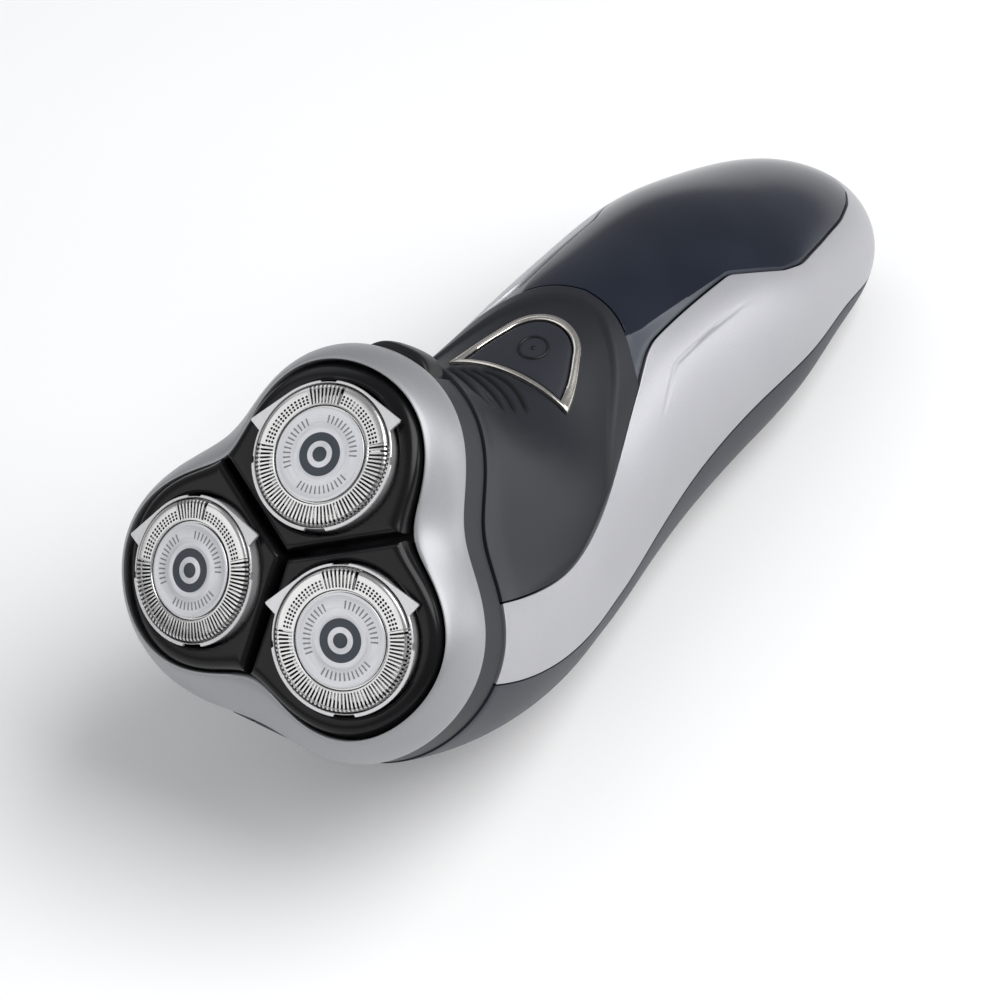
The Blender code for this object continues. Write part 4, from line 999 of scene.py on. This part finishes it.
def perforated(start, end):
    """The sieve between two slotted stretches: rows of holes in a thin plate."""
    columns = max(1, round((end - start) / SIEVE_PITCH))
    vertices = []
    faces = []

    def turn(share):
        return start + (end - start) * share

    for row in range(SIEVE_ROWS):
        low, high = (SIEVE_IN + (row + k) * (SIEVE_OUT - SIEVE_IN) / SIEVE_ROWS for k in (0, 1))
        centre = (low + high) / 2
        for column in range(columns):
            a = turn(column / columns)
            b = turn((column + 1) / columns)
            middle = polar(centre, (a + b) / 2)
            rim = [polar(low, a), polar(low, (a + b) / 2), polar(low, b), polar(centre, b),
                   polar(high, b), polar(high, (a + b) / 2), polar(high, a), polar(centre, a)]
            base = len(vertices)
            vertices += rim
            vertices += [middle + (point - middle).normalized() * SIEVE_HOLE for point in rim]
            for k in range(8):
                n = (k + 1) % 8
                faces.append((base + k, base + n, base + 8 + n, base + 8 + k))
    bands = [((TRACK_IN - 0.1, 0), (SIEVE_IN, 0)), ((SIEVE_OUT, 0), (TRACK_OUT, 0))]
    for (low, low_z), (high, high_z) in bands + list(zip(SHOULDER[:-1], SHOULDER[1:])):
        for k in range(columns * 2):
            a = turn(k / (columns * 2))
            b = turn((k + 1) / (columns * 2))
            base = len(vertices)
            vertices += [polar(low, a, low_z), polar(low, b, low_z), polar(high, b, high_z),
                         polar(high, a, high_z)]
            faces.append((base, base + 1, base + 2, base + 3))
    plate = new_piece("sieve", vertices, faces)
    if sum(polygon.normal.z for polygon in plate.data.polygons) < 0:
        plate.data.flip_normals()
    apply_modifier(plate, "SOLIDIFY", thickness=SIEVE_THICKNESS * MM, offset=-1)
    return plate


def model_guard_cap():
    """The steel guard, modelled once: hub ring, ribs, two sieves and its wall."""
    hub = turned("hub", ((6.1, -0.75), (6.1, -0.36), (7.3, -0.36), (7.38, -0.12), (7.5, 0.02), (7.7, 0.0),
                         (7.78, -0.06), (7.78, -0.3), (7.6, -0.5)), 128)
    wall = turned("wall", ((10.68, -1.2), (CAP_RADIUS, -1.3), (CAP_RADIUS, -1.55), (10.66, -1.62),
                           (10.66, -2.0), (CAP_RADIUS, -2.1), (CAP_RADIUS, -5.4), (10.3, -5.4),
                           (10.3, -1.2)), 128)
    vertices = []
    faces = []
    for number in range(round(360 / RIB_PITCH)):
        turn = RIB_PITCH * number
        if is_slotted(turn - EAR_MIDDLE):
            made, sides = rib(turn, 0.11, 0.155)
            faces += [tuple(len(vertices) + k for k in face) for face in sides]
            vertices += made
    shells = [hub, wall, new_piece("ribs", vertices, faces)]
    for low, high in ((17.5, 79.5), (-79.5, -17.5)):
        shells.append(perforated(EAR_MIDDLE + low, EAR_MIDDLE + high))
    return together("guard_cap_model", shells)


def model_guard_disc():
    """The centre disc, modelled once: a rolled rim, a shallow dish and a raised boss."""
    profile = ((0, -0.05), (7.05, -0.05), (7.1, 0.0), (7.02, 0.1), (6.85, 0.14), (6.6, 0.12), (6.45, 0.08),
               (4.35, 0.08), (4.2, 0.13), (4.0, 0.15), (3.55, 0.15), (3.4, 0.11), (3.25, 0.1), (1.3, 0.1),
               (1.2, 0.13), (0, 0.14))
    return turned("guard_disc_model", profile, 96)


def model_cutter():
    """The cutter, modelled once: a dished carrier with slanted blades round its rim."""
    shells = [turned("carrier", ((2.2, -6.6), (3.4, -6.6), (3.4, -3.6), (9.4, -3.2), (9.5, -2.9), (9.4, -2.6),
                                 (3.4, -2.9), (2.0, -2.9), (2.2, -3.6)), 64)]
    slant = Matrix.Rotation(BLADE_SLANT, 4, "X")
    for number in range(BLADES):
        blade = block("blade", (7.75, -0.2, -3.0), (9.45, 0.2, -0.5), 0.05, 1)
        blade.data.transform(Matrix.Rotation(2 * math.pi * number / BLADES, 4, "Z") @ slant)
        shells.append(blade)
    return together("cutter_model", shells)


def make_guards():
    """Three guards, discs and cutters, each copied from its one model."""
    kinds = (("guard_cap", model_guard_cap, "steel", "polished_steel", "guard"),
             ("guard_disc", model_guard_disc, "disc", "satin_steel", "guard"),
             ("cutter", model_cutter, "steel", "polished_steel", "cutter"))
    for kind, make_model, finish, slot, body in kinds:
        model = make_model()
        flat_map(model)
        for number, degrees in enumerate(HEAD_ANGLES, start=1):
            copy = model.copy()
            copy.data = model.data.copy()
            copy.name = f"{kind}_shape_{number}"
            bpy.context.scene.collection.objects.link(copy)
            place_piece(copy, guard_matrix(degrees))
            hand_over(copy, f"{body}_{number}", finish, slot, f"{kind}_{number}", angle=30)
        bpy.data.objects.remove(model)


def make_release_tab():
    """The black tab on the thumb side; it follows the collar's curve and fades out at both ends."""
    half_turn = math.degrees(math.asin(RELEASE_HALF / RELEASE_FRONT))
    steps = 28

    def band(proud, z):
        outer = []
        inner = []
        for k in range(steps + 1):
            off = -half_turn + 2 * half_turn * k / steps
            edge = outline_radius(RING_OUTLINE, 90 + off)
            fade = 1 - abs(off / half_turn) ** 4
            outer.append(polar(edge - 0.9 + (0.9 + proud) * fade, 90 + off, z))
            inner.append(polar(RELEASE_BACK / math.cos(math.radians(off)), 90 + off, z))
        return outer + inner[::-1]

    section = ((0.8, PARTING + 0.1), (1.0, PARTING + 0.3), (1.1, PARTING + 0.9), (1.2, -15.8), (1.2, -14.4),
               (1.12, -13.6), (0.95, -13.05), (0.65, -12.75), (0.2, RELEASE_TOP))
    tab = stacked("release_tab", [band(proud, z) for proud, z in section])
    join(tab, block("foot", (-RELEASE_HALF + 0.2, RELEASE_BACK - 0.9, PARTING - 2.9),
                    (RELEASE_HALF - 0.2, RELEASE_BACK + 0.3, PARTING + 1), 0.15, 2))
    place_piece(tab, HEAD)
    hand_over(tab, "release_button", "tab", "gloss_black_plastic", "head_release_button")


# ---------------------------------------------------------------- handle
def button_outline(inset, steps=40):
    """The button's shield outline in plan, from its front right corner round its rear and back."""
    radius = BUTTON_ARC_RADIUS - inset
    corner_x = BUTTON_HALF_WIDTH - 1.5 * inset
    corner_y = BUTTON_FRONT + 0.85 * inset
    reach = math.hypot(corner_x, corner_y - BUTTON_ARC_Y)
    start = math.atan2(corner_y - BUTTON_ARC_Y, corner_x) + math.acos(radius / reach)
    run_x = radius * math.cos(start) - corner_x
    run_y = BUTTON_ARC_Y + radius * math.sin(start) - corner_y
    length = math.hypot(run_x, run_y)
    right = []
    for share in (k / 16 for k in range(16)):
        swell = SIDE_SWELL * math.sin(math.pi * share) * (1 - share * 0.3)
        right.append((corner_x + run_x * share + run_y / length * swell,
                      corner_y + run_y * share - run_x / length * swell))
    for step in range(steps + 1):
        angle = start + (math.pi / 2 - start) * step / steps
        right.append((radius * math.cos(angle), BUTTON_ARC_Y + radius * math.sin(angle)))
    left = [(-x, y) for x, y in reversed(right[:-1])]
    hollow = BUTTON_HOLLOW - 0.1 * inset
    across = [2 * k / 24 - 1 for k in range(1, 24)]
    return right + left + [(corner_x * x, corner_y + hollow * (1 - x * x)) for x in across]


def over_surface(outline, lift):
    x = np.array([point[0] for point in outline])
    y = np.array([point[1] for point in outline])
    return [Vector((a, b, c)) for a, b, c in zip(x, y, top_height(x, y) + lift)]


def inside_outline(points, outline):
    """How deep each point of the plan lies inside an outline; negative outside it."""
    x = points[..., 0].ravel()
    y = points[..., 1].ravel()
    inside = np.zeros(len(x), bool)
    best = np.full(len(x), 1e9)
    for (x0, y0), (x1, y1) in zip(outline, outline[1:] + outline[:1]):
        crosses = (y0 > y) != (y1 > y)
        at = x0 + (y - y0) * (x1 - x0) / (y1 - y0 if y1 != y0 else 1e-12)
        inside ^= crosses & (x < at)
        run = np.array([x1 - x0, y1 - y0])
        t = np.clip(((x - x0) * run[0] + (y - y0) * run[1]) / max(run @ run, 1e-12), 0, 1)
        best = np.minimum(best, np.hypot(x - x0 - t * run[0], y - y0 - t * run[1]))
    return np.where(inside, best, -best).reshape(points.shape[:-1])


def grip_relief(points, s, degrees):
    """Heights on the grip, and its painted shade: a rim, a shallow dish, fine ridges and the button's pocket.
    """
    line = np.concatenate([np.array([[-0.1, 100.0]]), sample_curve(RIM_LINE, 90)])
    dish = np.concatenate([line, mirrored(line)[::-1][1:]])
    outline = [(a * FLAT_S, b * FLAT_DEGREES) for a, b in dish]
    inside = inside_outline(np.stack([s * FLAT_S, degrees * FLAT_DEGREES], -1), outline)
    lift = -DISH_DEPTH * smooth_step(-0.1, 1.9, inside) * smooth_step(0.0, 0.05, s)
    # painted shade: a dark band inside the rim, fading towards the middle of the dish
    shade = DISH_SHADE * smooth_step(-0.1, 1.2, inside) * (1 - smooth_step(1.5, 9.0, inside))
    shade = shade * smooth_step(0.05, 0.2, s)
    for ridge in RIDGES:
        near, share = near_line(points, sample_curve(ridge, 60), 1.6)
        fade = smooth_step(0.0, 0.08, share) * (1 - smooth_step(0.82, 1.0, share))
        groove = RIDGE_DEPTH * np.exp(-(near / RIDGE_WIDTH) ** 2)
        lip = LIP_HEIGHT * np.exp(-((near - 0.85) / 0.4) ** 2)
        lift = lift - fade * (groove - lip)
        # painted shade along each groove
        shade = np.maximum(shade, fade * np.exp(-(near / RIDGE_SHADE_WIDTH) ** 2))
    pocket = inside_outline(points, button_outline(-0.3))
    lift = np.where((points[..., 2] > 40) & (pocket > 0.3), -POCKET_DEPTH, lift)
    return lift, shade


def dense_between(count, low, high, share):
    """Numbers from 0 to 1 of which a share lies evenly between low and high."""
    first = (1 - share) * low / (low + 1 - high)
    return np.interp(np.linspace(0, 1, count), (0.0, first, first + share, 1.0), (0.0, low, high, 1.0))


def refined(grid, rows, columns):
    """Reads a grid at fractional rows and columns."""
    def between(values, at):
        low = np.clip(at.astype(int), 0, len(values) - 2)
        part = (at - low)[:, None, None]
        return values[low] * (1 - part) + values[low + 1] * part

    return np.moveaxis(between(np.moveaxis(between(grid, rows), 1, 0), columns), 0, 1)


def on_handle(grid):
    return handle_point(grid[..., 0], grid[..., 1])


def make_grip():
    """The soft cover round the thumb side, finely meshed where its ridges and the button's pocket are."""
    grip_side = sample_curve(GRIP_SIDE, 150)
    front = np.stack([np.zeros(301), np.linspace(-GRIP_SIDE[0][1], GRIP_SIDE[0][1], 301)], 1)
    grid = fill_between(front, both_sides(sample_curve(GRIP_REAR, 151)), mirrored(grip_side), grip_side)
    rows = dense_between(210, 0.20, 0.62, 0.62) * (len(grid) - 1)
    columns = dense_between(211, 0.22, 0.66, 0.60) * 300
    grid = refined(grid, rows, columns)
    points = on_handle(grid)
    lift, shade = grip_relief(points, grid[..., 0], grid[..., 1])
    # the grip's painted shade goes on as the piece's mark
    grip = panel("grip_cover", points, surface_normals(grid), lift=lift, edge=0.18, share=shade)
    hand_over(grip, "handle", "grip", "soft_black_rubber", "grip_shell", angle=60)


def make_gloss(gloss_side):
    """The glossy top panel: its face, and the bevelled strip that falls away along both sides."""
    s = gloss_side[:, 0]
    strip = np.interp(s, *np.array(STRIP_WIDTH).T)
    forward = 0.030 * (1 - smooth_step(0.408, 0.47, s)) + 0.002 * smooth_step(0.87, 0.895, s)
    face_side = gloss_side + np.stack([forward, -strip], 1)

    def crossing(line, corner):
        """The middle of a border line, from the face's corner to the middle of the panel."""
        half = sample_curve(line, 60)
        half = np.concatenate([[corner], half[half[:, 1] < corner[1] - 0.5]])
        return both_sides(sample_line(half, 46))

    face = fill_between(crossing(GRIP_REAR, face_side[0]), crossing(GLOSS_REAR, face_side[-1]),
                        mirrored(face_side), face_side)
    strip_share = np.array([0.0, 0.4, 0.75, 0.94])[None, :, None]
    right = gloss_side[:, None] * (1 - strip_share) + face_side[:, None] * strip_share
    grid = np.concatenate([mirrored(right), face, right[:, ::-1]], 1)
    fall = np.array([0.5, 0.34, 0.18, 0.06])
    drop = np.zeros(grid.shape[:2])
    on_strip = np.zeros(grid.shape[:2])
    drop[:, :4] = fall
    drop[:, -4:] = fall[::-1]
    on_strip[:, :4] = 1
    on_strip[:, -4:] = 1
    gloss = panel("gloss_cover", on_handle(grid), surface_normals(grid), lift=-drop, edge=0.12, share=on_strip)
    hand_over(gloss, "handle", "gloss", "blue_black_gloss", "gloss_panel", angle=40)


def back_border(count):
    """The rear shell's border round the tail, from the right side under the tail to the left."""
    half = sample_curve(BACK_REAR, count)
    return np.concatenate([half, np.array([0, 360]) + mirrored(half[::-1])[1:]])


def make_back(lower):
    """The rear shell that it lies on, cut out for the hinge."""
    front = np.stack([np.zeros(141), np.linspace(TRIM_LOWER[0][1], 360 - TRIM_LOWER[0][1], 141)], 1)
    grid = fill_between(front, back_border(71), lower[::2], np.array([0, 360]) + mirrored(lower[::2]))
    back = panel("back_cover", on_handle(grid), surface_normals(grid))
    cut(back, hinge_clearance())
    cut(back, in_head("clear", (-BRACKET_HALF - GAP, HINGE_Y - 0.9, -22.5),
                      (BRACKET_HALF + GAP, HINGE_Y + 5, PARTING + 1)))
    hand_over(back, "handle", "case", "dark_grey_plastic", "rear_shell", angle=40)


def make_trim(upper, lower):
    """The silver side trim: one band round both sides and the tail, with a crease on each side."""
    round_tail = both_sides(sample_curve(GLOSS_REAR, 51))[::-1]
    whole_upper = np.concatenate([upper, round_tail[1:-1], mirrored(upper)[::-1]])
    whole_lower = np.concatenate([lower, back_border(51)[1:-1], mirrored(lower)[::-1]])
    points = across_trim(whole_upper, whole_lower, 81)
    lift = np.zeros(points.shape[:2])
    for side in (1, -1):
        near, share = near_line(points, rounded_line(CREASE, 80, 3) * np.array([1, side]), 2.5)
        fade = smooth_step(0.0, 0.25, share) * (1 - smooth_step(0.55, 1.0, share))
        lift = lift - CREASE_DEPTH * fade * np.exp(-(near / CREASE_WIDTH) ** 2)
    trim = panel("silver_trim", points, grid_normals(points), lift=lift, edge=0.2)
    cut(trim, socket_prism("socket_hole", 5.3, 3.3, 73, 90))
    hand_over(trim, "handle", "trim", "satin_silver", "side_trim", angle=40)


def make_panels():
    gloss_side = rounded_line(GLOSS_SIDE, 130)
    upper = np.concatenate([sample_curve(GRIP_SIDE, 110), gloss_side[1:]])
    lower_angle = spline_through([point[0] for point in TRIM_LOWER], [[point[1]] for point in TRIM_LOWER])
    lower_s = upper[:, 0] * TRIM_LOWER[-1][0] / upper[-1, 0]
    lower = np.stack([lower_s, lower_angle(lower_s)[:, 0]], 1)
    make_grip()
    make_gloss(gloss_side)
    make_back(lower)
    make_trim(upper, lower)


def socket_prism(name, half_width, half_height, y_low, y_high):
    """A bar with a slot-shaped section, for the mouth of the charging socket."""
    loops = []
    straight = half_width - half_height
    for y in (y_low, y_high):
        loop = []
        for step in range(48):
            point = polar(half_height, 7.5 * step)
            side = straight if point.x > 1e-9 else -straight
            loop.append(Vector((side + point.x, y, SOCKET_HEIGHT + point.y)))
        loops.append(loop)
    return stacked(name, loops)


def make_button():
    """The shield-shaped button in its bright bezel, with a raised ring and dot."""
    loops = [over_surface(button_outline(inset), lift) for inset, lift in BEZEL_SECTION]
    bezel = stacked("bezel_band", loops, close=True)
    hand_over(bezel, "handle", "bezel", "warm_chrome", "button_bezel", angle=50)
    section = ((BEZEL_WIDTH + GAP, -0.7), (BEZEL_WIDTH + GAP, -0.5), (1.26, -0.28), (BUTTON_RIM, -0.12))
    loops = [over_surface(button_outline(inset), lift) for inset, lift in section]
    rim = button_outline(BUTTON_RIM)
    middle_y = BUTTON_ARC_Y - 1
    for share in (0.92, 0.8, 0.65, 0.5, 0.35, 0.2, 0.08):
        ring = [(x * share, (y - middle_y) * share + middle_y) for x, y in rim]
        loops.append(over_surface(ring, -0.12 - 0.1 * (1 - share)))
    button = stacked("thumb_button", loops)
    hand_over(button, "power_button", "button", "soft_black_rubber", "power_button", angle=40)
    arc = [(point.x, MARK_Y + point.y) for point in circle(MARK_RADIUS, 0, 64)]
    loops = []
    for point in over_surface(arc, -0.06):
        inward = (Vector((0, MARK_Y, point.z)) - point).normalized()
        loops.append([point + inward * 0.2 * turn.x + Vector((0, 0, 0.16 * turn.y))
                      for turn in circle(1, 0, 6)])
    mark = stacked("button_ring_mark", loops, close=True)
    hand_over(mark, "power_button", "tab", "soft_black_rubber", angle=60)
    dot = turned("button_dot", ((0, -0.3), (0.42, -0.3), (0.42, 0.0), (0.3, 0.1), (0, 0.14)), 24)
    height = float(top_height(np.array([0.0]), np.array([MARK_Y]))[0]) - 0.12
    place_piece(dot, Matrix.Translation((0, MARK_Y, height)))
    hand_over(dot, "power_button", "tab", "soft_black_rubber", angle=40)


# ---------------------------------------------------------------- pieces kept from the hard parts
KEPT = {
    "nylon": ("retaining_frame", "drive_gear_1", "drive_gear_2", "drive_gear_3"),
    "collar": ("gear_cover", "motor_plate", "inner_frame"),
    "tab": ("frame_lock", "hinge_bracket", "power_switch", "charging_socket"),
    "cell": ("battery_cell_1", "battery_cell_2"),
    "board": ("circuit_board",),
    "plain_steel": ("head_hinge_pin", "motor", "motor_pinion", "charge_pin_1", "charge_pin_2", "cover_screw_1",
                    "cover_screw_2", "cover_screw_3", "drive_shaft_1", "drive_shaft_2", "drive_shaft_3"),
}


def finish_kept_nodes():
    for finish, names in KEPT.items():
        for name in names:
            for material_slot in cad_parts[name].material_slots:
                material_slot.material = FINISHES[finish]


# ---------------------------------------------------------------- studio
# name, place, aim, size, watts, tint; all in metres
LIGHTS = (
    ("key", (0.42, 0.12, 0.66), (0, 0, 0.03), (0.6, 0.6), 6.2, (1, 1, 1)),
    ("front", (-0.34, -0.74, 0.55), (0, -0.05, 0.05), (1.0, 0.7), 2.6, (1, 1, 1)),
    ("rear_right", (0.62, 0.48, 0.16), (0, 0.02, 0.05), (0.35, 0.25), 0.9, (1, 1, 1)),
    ("rear_left", (-0.62, 0.10, 0.62), (-0.1, 0, 0.0), (0.5, 0.5), 0.8, (0.94, 0.96, 1.0)),
)
FLOOR_SIZE = 3.0
SKY_COLOUR = (0.96, 0.97, 1.0, 1.0)
SKY_STRENGTH = 0.30
CAMERA_AZIMUTH = math.radians(37.594)
CAMERA_ELEVATION = math.radians(46.128)
CAMERA_ROLL = math.radians(-5.315)
CAMERA_AIM = (-0.005208, -0.0118, 0.017787)
CAMERA_DISTANCE = 0.65
LENS = 142.74


def make_studio():
    bpy.ops.object.select_all(action="DESELECT")
    bpy.ops.mesh.primitive_plane_add(size=FLOOR_SIZE, location=(0, 0, 0))
    floor = bpy.context.active_object
    floor.name = "studio_floor"
    floor.data.materials.append(FINISHES["floor"])

    world = bpy.data.worlds.new("studio")
    bpy.context.scene.world = world
    world.use_nodes = True
    background = world.node_tree.nodes["Background"]
    background.inputs["Color"].default_value = SKY_COLOUR
    background.inputs["Strength"].default_value = SKY_STRENGTH

    for name, place, aim, size, watts, tint in LIGHTS:
        data = bpy.data.lights.new(name, "AREA")
        data.shape = "RECTANGLE"
        data.size, data.size_y = size
        data.energy = watts
        data.color = tint
        light = bpy.data.objects.new(name, data)
        light.location = place
        light.rotation_euler = (Vector(aim) - Vector(place)).to_track_quat("-Z", "Y").to_euler()
        bpy.context.scene.collection.objects.link(light)


def make_camera():
    """A long lens, high over the right front, rolled a little."""
    flat = math.cos(CAMERA_ELEVATION)
    right = Vector((math.cos(CAMERA_AZIMUTH), math.sin(CAMERA_AZIMUTH), 0))
    back = Vector((right.y * flat, -right.x * flat, math.sin(CAMERA_ELEVATION)))
    up = back.cross(right)
    level = right * math.cos(CAMERA_ROLL) + up * math.sin(CAMERA_ROLL)
    upright = up * math.cos(CAMERA_ROLL) - right * math.sin(CAMERA_ROLL)
    data = bpy.data.cameras.new("camera")
    data.lens = LENS
    data.sensor_width = 36.0
    data.clip_end = 10.0
    camera = bpy.data.objects.new("camera", data)
    place = Matrix((level, upright, back)).transposed().to_4x4()
    place.translation = Vector(CAMERA_AIM) + back * CAMERA_DISTANCE
    camera.matrix_world = place
    bpy.context.scene.collection.objects.link(camera)
    bpy.context.scene.camera = camera


make_camera()
make_head_ring()
make_collar()
for index, degrees in enumerate(HEAD_ANGLES, start=1):
    make_pad(index, degrees)
    make_guard_frame(index, degrees)
make_guards()
make_release_tab()
make_panels()
make_button()
finish_kept_nodes()
make_studio()
bpy.context.scene.view_settings.view_transform = "Standard"
